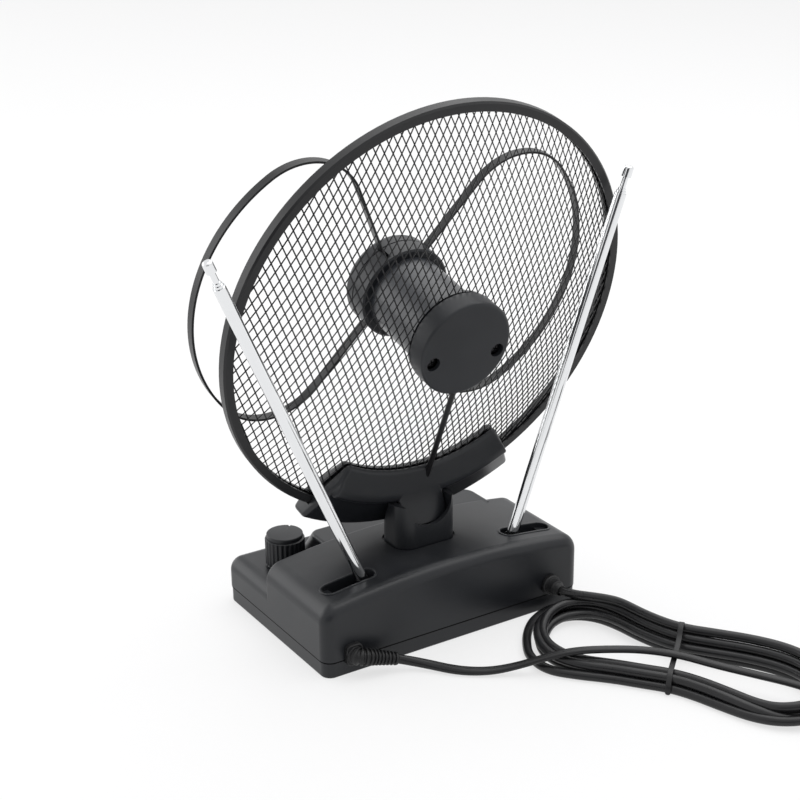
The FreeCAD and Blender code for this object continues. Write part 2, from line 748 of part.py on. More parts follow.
# Telescopic rods: each stands on a pin across a well under its slot and leans to the rear.
lean = Rotation(Vector(1, 0, 0), -size("rod_lean"))
under_arch = cylinder(
    "under_arch", "arch_radius - wall", "base_depth",
    ("0", "-base_depth / 2", "cover_height - arch_radius"), TO_Y,
)
step = "(tube_wall + running_clearance)"
TUBES = ("outer", "second", "third")
tube_top = "rod_length - tip_height - inner_reveal - 2 * tube_reveal"
for word, sign in SIDES:
    pivot = Vector(sign * size("rod_x"), size("slot_y"), size("rod_height"))
    stand = Placement(pivot, lean.multiply(Rotation(Vector(0, 1, 0), sign * size(f"rod_angle_{word}"))))
    middle = f"{sign} * slot_x"
    tub = obround(
        f"well_tub_{word}", "slot_length + 2 * well_wall", "slot_width + 2 * well_wall",
        "well_floor_height - well_wall", "cover_height", middle,
    )
    room = obround(
        f"well_room_{word}", "slot_length", "slot_width", "well_floor_height", "cover_height", middle,
    )
    pin_length = "slot_width + 2 * well_wall"
    reach = (size("slot_width") + 2 * size("well_wall")) / 2
    pin_hole = doc.addObject("Part::Cylinder", f"pin_hole_{word}")
    bind(pin_hole, Radius="rod_pin_radius", Height=f"2 * ({pin_length})")
    pin_hole.Placement = Placement(pivot + lean.multVec(Vector(0, -2 * reach, 0)), lean.multiply(TO_Y))
    well = cut(f"well_{word}", common(f"well_under_{word}", tub, under_arch), room, pin_hole)
    node(f"rod_well_{word}", well)
    rod_pin = doc.addObject("Part::Cylinder", f"rod_pin_{word}")
    bind(rod_pin, Radius="rod_pin_radius", Height=pin_length)
    pin_place = Placement(pivot + lean.multVec(Vector(0, -reach, 0)), lean.multiply(TO_Y))
    node(f"rod_pin_{word}", rod_pin, pin_place)

    eye = cylinder(f"eye_{word}", "knuckle_radius", "knuckle_width", ("0", "-knuckle_width / 2", "0"), TO_Y)
    shank = cylinder(f"shank_{word}", "rod_radius - tube_wall", "shank_top", ("0", "0", "0"))
    collar = cylinder(f"collar_{word}", "rod_radius", "rod_foot", ("0", "0", "0"))
    eye_bore = cylinder(
        f"eye_bore_{word}", "rod_pin_radius + running_clearance", "2 * knuckle_width",
        ("0", "-knuckle_width", "0"), TO_Y,
    )
    knuckle = cut(f"knuckle_{word}", fuse(f"knuckle_raw_{word}", eye, shank, collar), eye_bore)
    node(f"rod_knuckle_{word}", knuckle, stand)
    for level, tube in enumerate(TUBES):
        foot = "tube_start" if level else "rod_foot"
        height = f"{tube_top} + {level} * tube_reveal - {foot}"
        skin = f"rod_radius - {level} * {step}"
        outer = cylinder(f"{tube}_skin_{word}", skin, height, ("0", "0", foot))
        inner = cylinder(f"{tube}_bore_{word}", f"{skin} - tube_wall", height, ("0", "0", foot))
        node(f"rod_{tube}_{word}", cut(f"{tube}_tube_{word}", outer, inner), stand)
    rod_end = "rod_length - tip_height + tip_grip"
    inner_radius = f"rod_radius - 3 * {step}"
    rod = doc.addObject("Part::Cylinder", f"rod_{word}")
    bind(rod, Radius=inner_radius, Height=f"{rod_end} - tube_start")
    node(f"rod_inner_{word}", rod, stand.multiply(Placement(Vector(0, 0, size("tube_start")), Rotation())))
    tip_raw = cylinder(f"tip_raw_{word}", "tip_radius", "tip_height", ("0", "0", "rod_length - tip_height"))
    tip_edge = size("tip_radius") / 2
    tip_round = fillet(f"tip_round_{word}", tip_raw, tip_edge, lambda b: b.ZMin > size("rod_length") - NEAR)
    tip_bore = cylinder(f"tip_bore_{word}", inner_radius, "tip_grip", ("0", "0", "rod_length - tip_height"))
    node(f"rod_tip_{word}", cut(f"tip_{word}", tip_round, tip_bore), stand)

# Dish, drawn about its own hub axis: X across, Y up the dish, Z out of its front.
tilt = math.radians(size("dish_tilt"))
dish_up = Vector(0, math.sin(tilt), math.cos(tilt))
dish_front = Vector(0, -math.cos(tilt), math.sin(tilt))
tilt_point = Vector(0, size("neck_y"), size("tilt_height"))
dish_centre = tilt_point + dish_up * size("dish_drop") + dish_front * size("dish_offset")
DISH = Placement(dish_centre, Rotation(Vector(1, 0, 0), 90 - size("dish_tilt")))

node("rim_ring", turned("rim", [
    ("rim_inner", "-rim_width / 2"),
    ("rim_radius - rim_edge", "-rim_width / 2"),
    ("rim_radius", "rim_edge - rim_width / 2"),
    ("rim_radius", "rim_width / 2 - rim_edge"),
    ("rim_radius - rim_edge", "rim_width / 2"),
    ("rim_inner", "rim_width / 2"),
    ("rim_inner", "rim_groove / 2"),
    ("mesh_radius + groove_clearance", "rim_groove / 2"),
    ("mesh_radius + groove_clearance", "-rim_groove"),
    ("rim_inner", "-rim_groove"),
]), DISH)

bowl_radius = "((mesh_radius ^ 2 + bowl_depth ^ 2) / (2 * bowl_depth))"
bowl_centre = ("0", "0", f"{bowl_radius} - bowl_depth")


def bowl_at(radius):
    """Expression for the bowl's place along the hub axis at a radius."""
    return f"({bowl_radius} - bowl_depth - sqrt({bowl_radius} ^ 2 - ({radius}) ^ 2))"


bowl_out = doc.addObject("Part::Sphere", "bowl_out")
place(bind(bowl_out, Radius=f"{bowl_radius} + mesh_thickness / 2"), bowl_centre)
bowl_in = doc.addObject("Part::Sphere", "bowl_in")
place(bind(bowl_in, Radius=f"{bowl_radius} - mesh_thickness / 2"), bowl_centre)
bowl_disc = cylinder("bowl_disc", "mesh_radius", "3 * bowl_depth", ("0", "0", "-2 * bowl_depth"))
bowl = cut("bowl", common("bowl_cap", bowl_out, bowl_disc), bowl_in)
hub_hole = cylinder("hub_hole", "mesh_hole", "3 * bowl_depth", ("0", "0", "-2 * bowl_depth"))
half_wide = (size("gap_width") - size("strand_width")) / 2
half_high = (size("gap_height") - size("strand_width") * size("gap_height") / size("gap_width")) / 2
gap_inside = size("rim_inner") - size("gap_margin")
gap_outside = size("cap_radius") + size("gap_margin")
columns = int(size("mesh_radius") / size("gap_width") * 2) + 1
rows = int(size("mesh_radius") / size("gap_height") * 2) + 1
gaps = []
for column in range(-columns, columns + 1):
    for row in range(-rows, rows + 1):
        if (column + row) % 2:
            continue
        x = column * size("gap_width") / 2
        y = row * size("gap_height") / 2
        spots = ((x + half_wide, y), (x, y + half_high), (x - half_wide, y), (x, y - half_high))
        tips = [Vector(*spot) for spot in spots]
        reaches = [tip.Length for tip in tips]
        if max(reaches) > gap_inside or min(reaches) < gap_outside:
            continue
        face = Part.Face(Part.makePolygon([*tips, tips[0]]))
        face.translate(Vector(0, 0, -2 * size("bowl_depth")))
        gaps.append(face.extrude(Vector(0, 0, 3 * size("bowl_depth"))))
print("mesh gaps", len(gaps))
mesh_gaps = solid("mesh_gaps", Part.makeCompound(gaps))
node("mesh_reflector", cut("mesh", cut("mesh_ring", bowl, hub_hole), mesh_gaps), DISH)

cap = turned("cap", [
    ("0", "cap_dish_depth - cap_back"),
    ("cap_dish_radius", "cap_dish_depth - cap_back"),
    ("cap_dish_radius + cap_dish_depth", "-cap_back"),
    ("cap_radius - 0.7 * cap_edge", "-cap_back"),
    ("cap_radius - 0.25 * cap_edge", "0.3 * cap_edge - cap_back"),
    ("cap_radius", "0.9 * cap_edge - cap_back"),
    ("cap_radius", "-cap_front"),
    ("tube_inner", "-cap_front"),
    ("tube_inner", "cap_wall + cap_dish_depth - cap_back"),
    ("0", "cap_wall + cap_dish_depth - cap_back"),
])
cap_screw_y = "-cap_screw_drop"
pocket_z = "cap_pocket_depth - cap_back"
cap_tools = []
tube_tools = []
for word, sign in SIDES:
    x = f"{sign} * cap_screw_x"
    cap_tools.append(cylinder(
        f"cap_pocket_{word}", "cap_pocket_radius", "cap_back", (x, cap_screw_y, f"{pocket_z} - cap_back"),
    ))
    cap_tools.append(cylinder(
        f"cap_hole_{word}", "screw_radius + seat_clearance", "cap_back", (x, cap_screw_y, "-cap_back"),
    ))
    tube_tools.append(cylinder(
        f"tube_hole_{word}", "screw_radius", "screw_bite + 1", (x, cap_screw_y, "-cap_front"),
    ))
LEAD = ((-2, -26, -30), (-5, -size("cradle_top") - size("lead_bite"), -12.4))
lead_run = Vector(*LEAD[1]) - Vector(*LEAD[0])
lead_hole = solid("lead_hole", Part.makeCylinder(
    size("lead_radius") + size("lead_clearance"), lead_run.Length, Vector(*LEAD[0]), lead_run,
))
node("hub_cap", cut("cap_cut", cap, *cap_tools, lead_hole), DISH)
for word, sign in SIDES:
    x = f"{sign} * cap_screw_x"
    head = cylinder(
        f"cap_head_{word}", "screw_head_radius", "screw_head_height",
        (x, cap_screw_y, f"{pocket_z} - screw_head_height"),
    )
    shank = cylinder(
        f"cap_shank_{word}", "screw_radius", "cap_back - cap_pocket_depth - cap_front + screw_bite",
        (x, cap_screw_y, pocket_z),
    )
    node(f"cap_screw_{word}", fuse(f"cap_fixing_{word}", head, shank), DISH)

hub = turned("hub", [
    ("tube_inner", "-cap_front"),
    ("mesh_hole - 2 * groove_clearance", "-cap_front"),
    ("mesh_hole - 2 * groove_clearance", "-flange_back"),
    ("flange_radius", "-flange_back"),
    ("flange_radius", "-flange_front"),
    ("tube_radius", "-flange_front"),
    ("tube_radius", "drum_back"),
    ("tube_inner", "drum_back"),
])
node("hub_tube", cut("hub_cut", hub, *tube_tools), DISH)


def loop_outline(offset):
    """Half of a loop's outline from the drum to its outer end, moved outward by an offset."""
    reach = size("loop_reach")
    high = Vector(size("loop_shoulder_x"), size("loop_shoulder_y"))
    corner = size("loop_corner")
    away = reach - high.x
    bow = (away ** 2 + high.y ** 2 - corner ** 2) / (2 * (away - corner))
    heart = Vector(reach - bow, 0)
    rake = math.radians(size("loop_rake"))
    along = Vector(math.cos(rake), math.sin(rake))
    normal = Vector(-math.sin(rake), math.cos(rake))
    meet = high + normal * (corner + offset)
    near = size("loop_end_radius")
    gap = meet - along * meet.dot(along)
    start = gap + along * math.sqrt(near ** 2 - gap.Length ** 2)
    toward = (high - heart).normalize()
    join = heart + toward * (bow + offset)
    crest = high + (normal + toward).normalize() * (corner + offset)
    side = Vector(reach + offset, 0)
    half = heart + (toward + Vector(1, 0)).normalize() * (bow + offset)
    return [start, meet, crest, join, half, side]


def loop_shape():
    def curves(points):
        start, meet, crest, join, half, side = points
        corner = Part.Arc(meet, crest, join).toShape()
        return [Part.makeLine(start, meet), corner, Part.Arc(join, half, side).toShape()]

    half_thick = size("strip_thickness") / 2
    outer = loop_outline(half_thick)
    inner = loop_outline(-half_thick)
    mirrored = [[Vector(p.x, -p.y) for p in points] for points in (outer, inner)]
    edges = curves(outer) + curves(mirrored[0]) + curves(inner) + curves(mirrored[1])
    edges.append(Part.makeLine(outer[0], inner[0]))
    edges.append(Part.makeLine(mirrored[0][0], mirrored[1][0]))
    face = Part.Face(Part.Wire(Part.__sortEdges__(edges)))
    face.translate(Vector(0, 0, size("drum_parting") - size("strip_width") / 2))
    return face.extrude(Vector(0, 0, size("strip_width")))


CLOCK = DISH.multiply(Placement(Vector(), Rotation(Vector(0, 0, 1), size("loop_clock"))))
loop = loop_shape()
slits = []
rake = math.radians(size("loop_rake"))
normal = Vector(-math.sin(rake), math.cos(rake))
shoulder = Vector(size("loop_shoulder_x"), size("loop_shoulder_y"))
strip_line = normal * (shoulder.dot(normal) + size("loop_corner"))
slit_foot = size("drum_back") + size("drum_wall")
slit_depth = size("drum_parting") + size("strip_width") / 2 + size("slit_clearance") - slit_foot
for mirror_x in (1, -1):
    for mirror_y in (1, -1):
        half = size("strip_thickness") / 2 + size("slit_clearance")
        away = size("drum_radius") + 1
        near = size("drum_radius") - size("drum_wall") - 1
        spots = []
        for distance in (near, away):
            along = Vector(math.cos(rake), math.sin(rake)) * math.sqrt(distance ** 2 - strip_line.Length ** 2)
            for shift in (half, -half):
                spots.append(strip_line + along + normal * shift)
        outline = [spots[0], spots[2], spots[3], spots[1], spots[0]]
        face = Part.Face(Part.makePolygon([Vector(p.x * mirror_x, p.y * mirror_y) for p in outline]))
        face.translate(Vector(0, 0, slit_foot))
        slits.append(face.extrude(Vector(0, 0, slit_depth)))
drum_slits = solid("drum_slits", Part.makeCompound(slits))
drum_rear = turned("drum_rear_form", [
    ("tube_inner", "drum_back"),
    ("drum_radius - 1", "drum_back"),
    ("drum_radius", "drum_back + 1"),
    ("drum_radius", "drum_parting - drum_gap / 2"),
    ("drum_radius - 1", "drum_parting - drum_gap / 2"),
    ("drum_radius - 1", "drum_parting"),
    ("drum_radius - drum_wall", "drum_parting"),
    ("drum_radius - drum_wall", "drum_back + drum_wall"),
    ("tube_inner", "drum_back + drum_wall"),
])
balun_back = "drum_parting - strip_width / 2 - balun_thickness"
balun_posts = []
for word, sign in SIDES:
    at = (f"{sign} * (balun_width / 2 - balun_margin)", "0", "drum_back")
    balun_posts.append(cylinder(f"balun_post_{word}", "balun_post_radius", f"{balun_back} - drum_back", at))
drum_posted = fuse("drum_posted", drum_rear, *balun_posts)
node("drum_rear", cut("drum_rear_cut", drum_posted, drum_slits), CLOCK)
drum_front = turned("drum_front_form", [
    ("drum_radius - 1", "drum_parting"),
    ("drum_radius - 1", "drum_parting + drum_gap / 2"),
    ("drum_radius", "drum_parting + drum_gap / 2"),
    ("drum_radius", "drum_front - drum_edge"),
    ("drum_radius - 0.3 * drum_edge", "drum_front - 0.3 * drum_edge"),
    ("drum_radius - drum_edge", "drum_front"),
    ("0", "drum_front"),
    ("0", "drum_front - drum_wall"),
    ("drum_radius - drum_wall", "drum_front - drum_wall"),
    ("drum_radius - drum_wall", "drum_parting"),
])
node("drum_front", cut("drum_front_cut", drum_front, drum_slits), CLOCK)
balun = doc.addObject("Part::Box", "balun")
bind(balun, Length="balun_width", Width="balun_height", Height="balun_thickness")
balun_z = size("drum_parting") - size("strip_width") / 2 - size("balun_thickness")
balun_corner = Vector(-size("balun_width") / 2, -size("balun_height") / 2, balun_z)
node("balun_board", balun, CLOCK.multiply(Placement(balun_corner, Rotation())))
node("loop_left", solid("left_loop", loop), CLOCK)
node("loop_right", solid("right_loop", loop.mirror(Vector(), Vector(1, 0, 0))), CLOCK)

# Cradle: an arc that grips the lower rim, with a tongue and barrel on the tilt pin.
cradle = body("cradle_form")
section = sketch(cradle, "cradle_section", "YZ_Plane")
polygon(section, [
    ("-cradle_top", "-cradle_back"),
    ("-cradle_top - cradle_swell_drop", "-cradle_swell"),
    ("-cradle_bottom", "-cradle_heel"),
    ("-cradle_bottom", "cradle_toe"),
    ("cradle_toe_round - cradle_bottom", "cradle_front"),
    ("cradle_lip - cradle_bottom", "cradle_front"),
    ("-cradle_top", "-cradle_front"),
])
revolve(cradle, "Revolution", "cradle_arc", section, 76)
tongue = sketch(cradle, "tongue_outline", "YZ_Plane")
polygon(tongue, [
    ("-cradle_top - cradle_swell_drop", "tongue_sink - cradle_swell"),
    ("-cradle_top - tongue_root_drop", "-tongue_root_back"),
    ("tongue_toe - cradle_bottom", "-tongue_toe_back"),
    ("tongue_blend - dish_drop - barrel_radius", "2 * tongue_blend - dish_offset"),
    ("-dish_drop", "-dish_offset - barrel_radius"),
])
extrude(cradle, "Pad", "tongue", tongue, "tongue_width")
barrel = sketch(cradle, "barrel_round", "YZ_Plane")
ring(barrel, ("-dish_drop", "-dish_offset"), "barrel_radius")
extrude(cradle, "Pad", "barrel", barrel, "barrel_length")
groove = sketch(cradle, "rim_seat", "YZ_Plane")
polygon(groove, [
    ("mesh_slot_over - cradle_top", f"{bowl_at('cradle_top - mesh_slot_over')} - mesh_slot"),
    ("groove_clearance - rim_inner", "-rim_width / 2 - groove_clearance"),
    ("-rim_radius - groove_clearance", "-rim_width / 2 - groove_clearance"),
    ("-rim_radius - groove_clearance", "rim_width / 2 + groove_clearance"),
    ("groove_clearance - rim_inner", "rim_width / 2 + groove_clearance"),
    ("groove_clearance - rim_inner", f"{bowl_at('rim_inner - groove_clearance')} + mesh_slot"),
    ("mesh_slot_over - cradle_top", f"{bowl_at('cradle_top - mesh_slot_over')} + mesh_slot"),
])
revolve(cradle, "Groove", "rim_groove_cut", groove)
ends = sketch(cradle, "cradle_ends", "XY_Plane")
for sign in ("", "-"):
    polygon(ends, [
        (f"{sign}cradle_flat", "-cradle_flat"),
        (f"{sign}cradle_flat", "-sqrt(cradle_top ^ 2 - cradle_flat ^ 2)"),
        (f"{sign}cradle_reach", "-cradle_end_drop"),
        (f"{sign}cradle_reach", "-cradle_end_drop - cradle_end_height"),
        (f"{sign}(cradle_reach - cradle_end_tuck)", "-cradle_end_drop - cradle_end_low"),
        (f"{sign}(cradle_reach + cradle_beyond)", "-cradle_end_drop - cradle_end_low"),
        (f"{sign}(cradle_reach + cradle_beyond)", "-cradle_flat"),
    ])
extrude(cradle, "Pocket", "cradle_trim", ends, "4 * bowl_depth")
pin_bore = sketch(cradle, "pin_bore_round", "YZ_Plane")
ring(pin_bore, ("-dish_drop", "-dish_offset"), "tilt_pin_radius + running_clearance")
extrude(cradle, "Pocket", "pin_bore", pin_bore, "2 * barrel_length")
node("cradle", cut("cradle_drilled", cradle, lead_hole), DISH)
lead = Part.makeCylinder(size("lead_radius"), lead_run.Length, Vector(*LEAD[0]), lead_run)
node("feed_lead", solid("lead", lead), DISH)

# Leads: a mains flex to a plug and a coaxial lead kept in a tied hank.
rear_y = size("base_depth") / 2
mains_out = Vector(size("mains_x"), rear_y, size("mains_z"))
BOOT = ((0, -5.6, 0), (0, 3.4, 0), (-3, 6, -0.4), (-11.5, 7.8, -2.6), (-22, 10.6, -5.4))
boot_points = [mains_out + Vector(*point) for point in BOOT]
MAINS = [
    tuple(boot_points[-1]), (33, 76.5, 3.8), (22, 90, 2.8), (8.5, 100, 2.8), (-5, 108, 8.4),
    (-17, 117.5, 14.6), (-29, 126, 17), (-44.5, 135, 17.5), (-60.5, 146, 17.5), (-72, 162, 17.5),
    (-81, 179, 17.5), (-93.5, 198, 17.5), (-106, 216, 17.5), (-117, 234, 14.8), (-129.2, 251.2, 5.5),
]
COIL = Vector(-168, 249, 0)
mains_line = tube_along(MAINS, size("mains_radius"))
node("mains_cord", solid("mains_line", mains_line))
boot_spine = Part.BSplineCurve()
boot_spine.interpolate(boot_points)
boot_axis = boot_points[-1] - boot_points[-2]
boot_start = boot_spine.parameter(boot_points[1])
boot_sections = [
    Part.Wire([Part.makeCircle(size("boot_radius"), boot_points[1], boot_spine.tangent(boot_start)[0])]),
    Part.Wire([Part.makeCircle(size("boot_end_radius"), boot_points[-1], boot_axis)]),
]
boot_part = boot_spine.copy()
boot_part.segment(boot_start, boot_spine.LastParameter)
boot_sleeve = Part.Wire([boot_part.toShape()]).makePipeShell(boot_sections, True, False)
boot_inner = mains_out - Vector(0, size("boot_neck_sink"), 0)
boot_neck = Part.makeCylinder(size("mains_radius"), size("boot_neck_length"), boot_inner, Vector(0, 1, 0))
flange = Part.makeBox(
    size("boot_flange_width"), size("boot_flange_depth"), size("boot_flange_height"),
    mains_out - Vector(size("boot_flange_width") / 2, 0, size("boot_flange_height") / 2),
)
flange = flange.makeFillet(size("boot_corner"), [edge for edge in flange.Edges if edge.BoundBox.YLength > 1])
flex_way = (Vector(*MAINS[1]) - Vector(*MAINS[0])).normalize()
flex_start = Vector(*MAINS[0]) - flex_way * size("end_gap")
room_radius = size("mains_radius") + size("seat_clearance")
flex_room = Part.makeCylinder(room_radius, size("boot_neck_length"), flex_start, flex_way)
boot = boot_sleeve.fuse([boot_neck, flange]).removeSplitter()
node("mains_boot", solid("boot", boot.cut(flex_room)))

coil_ring = Part.makeCylinder(size("coil_radius"), size("coil_height"), COIL)
coil_ring = coil_ring.cut(Part.makeCylinder(size("coil_eye"), size("coil_height"), COIL))
node("mains_coil", solid("coil", coil_ring))

HANK = (
    (-27.5, 85), (-19, 99), (-17.5, 116), (-27, 130), (-40, 144), (-50, 157), (-59, 168), (-64.5, 180),
    (-69, 195), (-74, 212), (-82, 227), (-96, 238), (-114, 236), (-127, 222), (-133, 203), (-131, 186),
    (-122, 168), (-109, 151), (-97, 136), (-91.5, 117), (-89.5, 97), (-86, 79), (-76, 65.5), (-62, 61.5),
    (-47, 66.5), (-36, 75),
)
outline = Part.BSplineCurve()
outline.interpolate([Vector(x, y, 0) for x, y in HANK], True)
hank = Part.Face(Part.Wire([outline.toShape()])).extrude(Vector(0, 0, size("hank_height")))
node("coax_hank", solid("hank", hank))
coax_out = Vector(size("coax_x"), rear_y, size("coax_z"))
gland_outer = ("coax_x", "base_depth / 2", "coax_z")
gland_flange = cylinder("gland_flange", "gland_radius", "gland_depth", gland_outer, TO_Y)
gland_inner = ("coax_x", "base_depth / 2 - 2 * wall", "coax_z")
gland_sleeve = cylinder("gland_sleeve_form", "gland_sleeve", "2 * wall", gland_inner, TO_Y)
gland_bore = cylinder("gland_bore", "coax_radius + seat_clearance", "4 * wall", gland_inner, TO_Y)
node("coax_gland", cut("gland", fuse("gland_raw", gland_flange, gland_sleeve), gland_bore))
COAX = [
    tuple(coax_out + Vector(0, -11.5, 0)), tuple(coax_out + Vector(0, 8.8, 0)),
    tuple(coax_out + Vector(-7, 22, 0)), (-77.5, 87.5, 15), (-84, 98, 14),
]
node("coax_cord", solid("coax_line", tube_along(COAX, size("coax_radius"))))
hank_exit = outline.value(outline.parameter(Vector(-132.8, 197, 0)))
hank_way = outline.tangent(outline.parameter(hank_exit))[0].cross(Vector(0, 0, 1)).normalize()
hank_exit = hank_exit + Vector(0, 0, size("hank_height") / 2)
COAX_TAIL = [
    tuple(hank_exit + hank_way * size("end_gap")), tuple(hank_exit + hank_way * 14),
    (-163, 190, 6), (-175, 178.5, 6),
]
node("coax_tail", solid("coax_end_line", tube_along(COAX_TAIL, size("coax_radius"))))
coax_plug = turned("coax_plug_form", [
    ("0", "0"),
    ("coax_radius + 1", "0"),
    ("plug_grip_radius - plug_edge", "plug_relief"),
    ("plug_grip_radius", "plug_relief + plug_edge"),
    ("plug_grip_radius", "plug_relief + plug_grip - plug_edge"),
    ("plug_grip_radius - plug_edge / 2", "plug_relief + plug_grip"),
    ("plug_sleeve", "plug_relief + plug_grip"),
    ("plug_sleeve", "plug_relief + plug_grip + plug_sleeve_length"),
    ("plug_sleeve - plug_sleeve_wall", "plug_relief + plug_grip + plug_sleeve_length"),
    ("plug_sleeve - plug_sleeve_wall", "plug_relief + plug_grip + 1"),
    ("plug_pin", "plug_relief + plug_grip + 1"),
    ("plug_pin", "plug_relief + plug_grip + plug_sleeve_length"),
    ("0", "plug_relief + plug_grip + plug_sleeve_length"),
])
plug_way = Vector(*COAX_TAIL[-1]) - Vector(*COAX_TAIL[-2])
plug_start = Vector(*COAX_TAIL[-1]) + plug_way.normalize() * size("end_gap")
node("coax_plug", coax_plug, Placement(plug_start, Rotation(Vector(0, 0, 1), plug_way)))

# The mains plug is drawn pointing along -Y, then turned to lie along the end of its flex.
MAINS_TAIL = [(-206.8, 252, 5.3), (-206.8, 240, 6.85), (-209.8, 228.4, 6.85)]
node("mains_tail", solid("mains_end_line", tube_along(MAINS_TAIL, size("mains_radius"))))
half_front = size("mains_plug_width") / 2
half_rear = size("mains_plug_rear") / 2
plug_shoulder = -size("mains_plug_shoulder")
plug_front = -size("mains_plug_length")
PLUG = (
    (-half_rear, 0), (half_rear, 0), (half_front, plug_shoulder), (half_front, plug_front),
    (-half_front, plug_front), (-half_front, plug_shoulder),
)
thick = size("mains_plug_thickness")
plug_spots = [Vector(x, y, -thick / 2) for x, y in PLUG]
plug_body = Part.Face(Part.makePolygon([*plug_spots, plug_spots[0]])).extrude(Vector(0, 0, thick))
upright = [edge for edge in plug_body.Edges if edge.BoundBox.ZLength > 1]
plug_body = plug_body.makeFillet(size("mains_plug_corner"), upright)
prongs = []
for sign in (1, -1):
    root = Vector(sign * size("prong_pitch") / 2, plug_front, 0)
    prongs.append(Part.makeCylinder(size("prong_radius"), size("prong_length"), root, Vector(0, -1, 0)))
flex_end = Vector(*MAINS_TAIL[-1])
flex_way = (flex_end - Vector(*MAINS_TAIL[-2])).normalize()
plug_place = Placement(flex_end + flex_way * size("end_gap"), Rotation(Vector(0, -1, 0), flex_way))
node("mains_plug", solid("mains_plug_form", plug_body.fuse(prongs)), plug_place)

TIE_MIDDLE = Vector(-77.3, 152.2, 0)
TIE_WAY = Vector(37, 32, 0).normalize()
tie_reach = TIE_WAY * size("coil_radius") * 2
across = Part.makeLine(TIE_MIDDLE - tie_reach, TIE_MIDDLE + tie_reach)
marks = sorted((pair[0] - TIE_MIDDLE).dot(TIE_WAY) for pair in outline.toShape().distToShape(across)[1])
tie_ends = [marks[0] - size("tie_slack"), marks[-1] + size("tie_slack")]
tie_top = size("hank_height") + size("tie_gap") + size("tie_thickness")
tie = Part.makeBox(
    tie_ends[1] - tie_ends[0] + 2 * size("tie_thickness"), size("tie_width"), tie_top - size("tie_lift"),
    Vector(tie_ends[0] - size("tie_thickness"), -size("tie_width") / 2, size("tie_lift")),
)
tie = tie.cut(Part.makeBox(
    tie_ends[1] - tie_ends[0], 2 * size("tie_width"), size("hank_height") + size("tie_gap"),
    Vector(tie_ends[0], -size("tie_width"), 0),
))
tie.rotate(Vector(), Vector(0, 0, 1), math.degrees(math.atan2(TIE_WAY.y, TIE_WAY.x)))
tie.translate(TIE_MIDDLE)
node("hank_tie", solid("hank_band", tie))
coil_band = Part.makeBox(
    size("coil_radius") - size("coil_eye") + 2 * size("tie_thickness") + 2 * size("tie_gap"), size("tie_width"),
    size("coil_height") + size("tie_gap") + size("tie_thickness") - size("tie_lift"),
)
coil_band.translate(COIL + Vector(
    size("coil_eye") - size("tie_gap") - size("tie_thickness"), -size("tie_width") / 2, size("tie_lift"),
))
coil_top = size("coil_height") + size("tie_gap")
coil_skin = Part.makeCylinder(size("coil_radius") + size("tie_gap"), coil_top, COIL)
coil_skin = coil_skin.cut(Part.makeCylinder(size("coil_eye") - size("tie_gap"), 2 * size("coil_height"), COIL))
coil_tie = coil_band.cut(coil_skin)
coil_tie.rotate(COIL, Vector(0, 0, 1), -60)
node("mains_tie", solid("coil_tie", coil_tie))

doc.recompute()
os.makedirs("parts", exist_ok=True)
for item in doc.Objects:
    if {"Invalid", "Error"} & set(item.State):
        raise RuntimeError(f"{item.Name} {item.Label} {item.State}")
for item in nodes:
    shape = item.Shape
    if shape.isNull() or not shape.isValid():
        raise RuntimeError(f"{item.Label} has a bad shape")
    print(f"{item.Label}: {len(shape.Solids)} solid, {shape.Volume:.0f} mm3, {shape.BoundBox}")
    shape.exportStep(f"parts/{item.Label}.step")
print(len(nodes), "nodes")
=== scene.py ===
import math

import bpy
from mathutils import Matrix, Vector


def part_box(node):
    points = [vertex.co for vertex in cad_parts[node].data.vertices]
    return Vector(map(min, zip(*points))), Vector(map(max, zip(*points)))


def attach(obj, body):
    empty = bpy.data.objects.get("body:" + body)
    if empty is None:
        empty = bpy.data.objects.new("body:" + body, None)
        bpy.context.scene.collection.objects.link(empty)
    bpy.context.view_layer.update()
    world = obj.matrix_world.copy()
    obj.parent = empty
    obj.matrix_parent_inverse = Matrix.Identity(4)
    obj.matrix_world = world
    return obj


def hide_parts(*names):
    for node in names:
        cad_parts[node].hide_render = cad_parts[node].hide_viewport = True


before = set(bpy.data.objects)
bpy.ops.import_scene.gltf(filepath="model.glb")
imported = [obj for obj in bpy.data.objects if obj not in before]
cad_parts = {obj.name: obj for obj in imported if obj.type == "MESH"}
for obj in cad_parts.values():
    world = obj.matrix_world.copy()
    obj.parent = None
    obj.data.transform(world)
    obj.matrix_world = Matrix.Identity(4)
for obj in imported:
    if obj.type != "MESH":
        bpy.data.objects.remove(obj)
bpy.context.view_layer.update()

bl_info = {
    "name": "Indoor TV antenna",
    "version": (1, 0, 0),
    "blender": (4, 5, 0),
    "location": "3D View > Sidebar > Antenna",
    "description": "Dresses the packed antenna with its mesh, leads, finishes and studio",
    "category": "Object",
}

MM = 0.001

# The dish's own frame: X across, Y up the dish, Z out of its front.
DISH = Matrix.Translation((0, 0.0302, 0.1838)) @ Matrix.Rotation(math.radians(75.9), 4, "X")

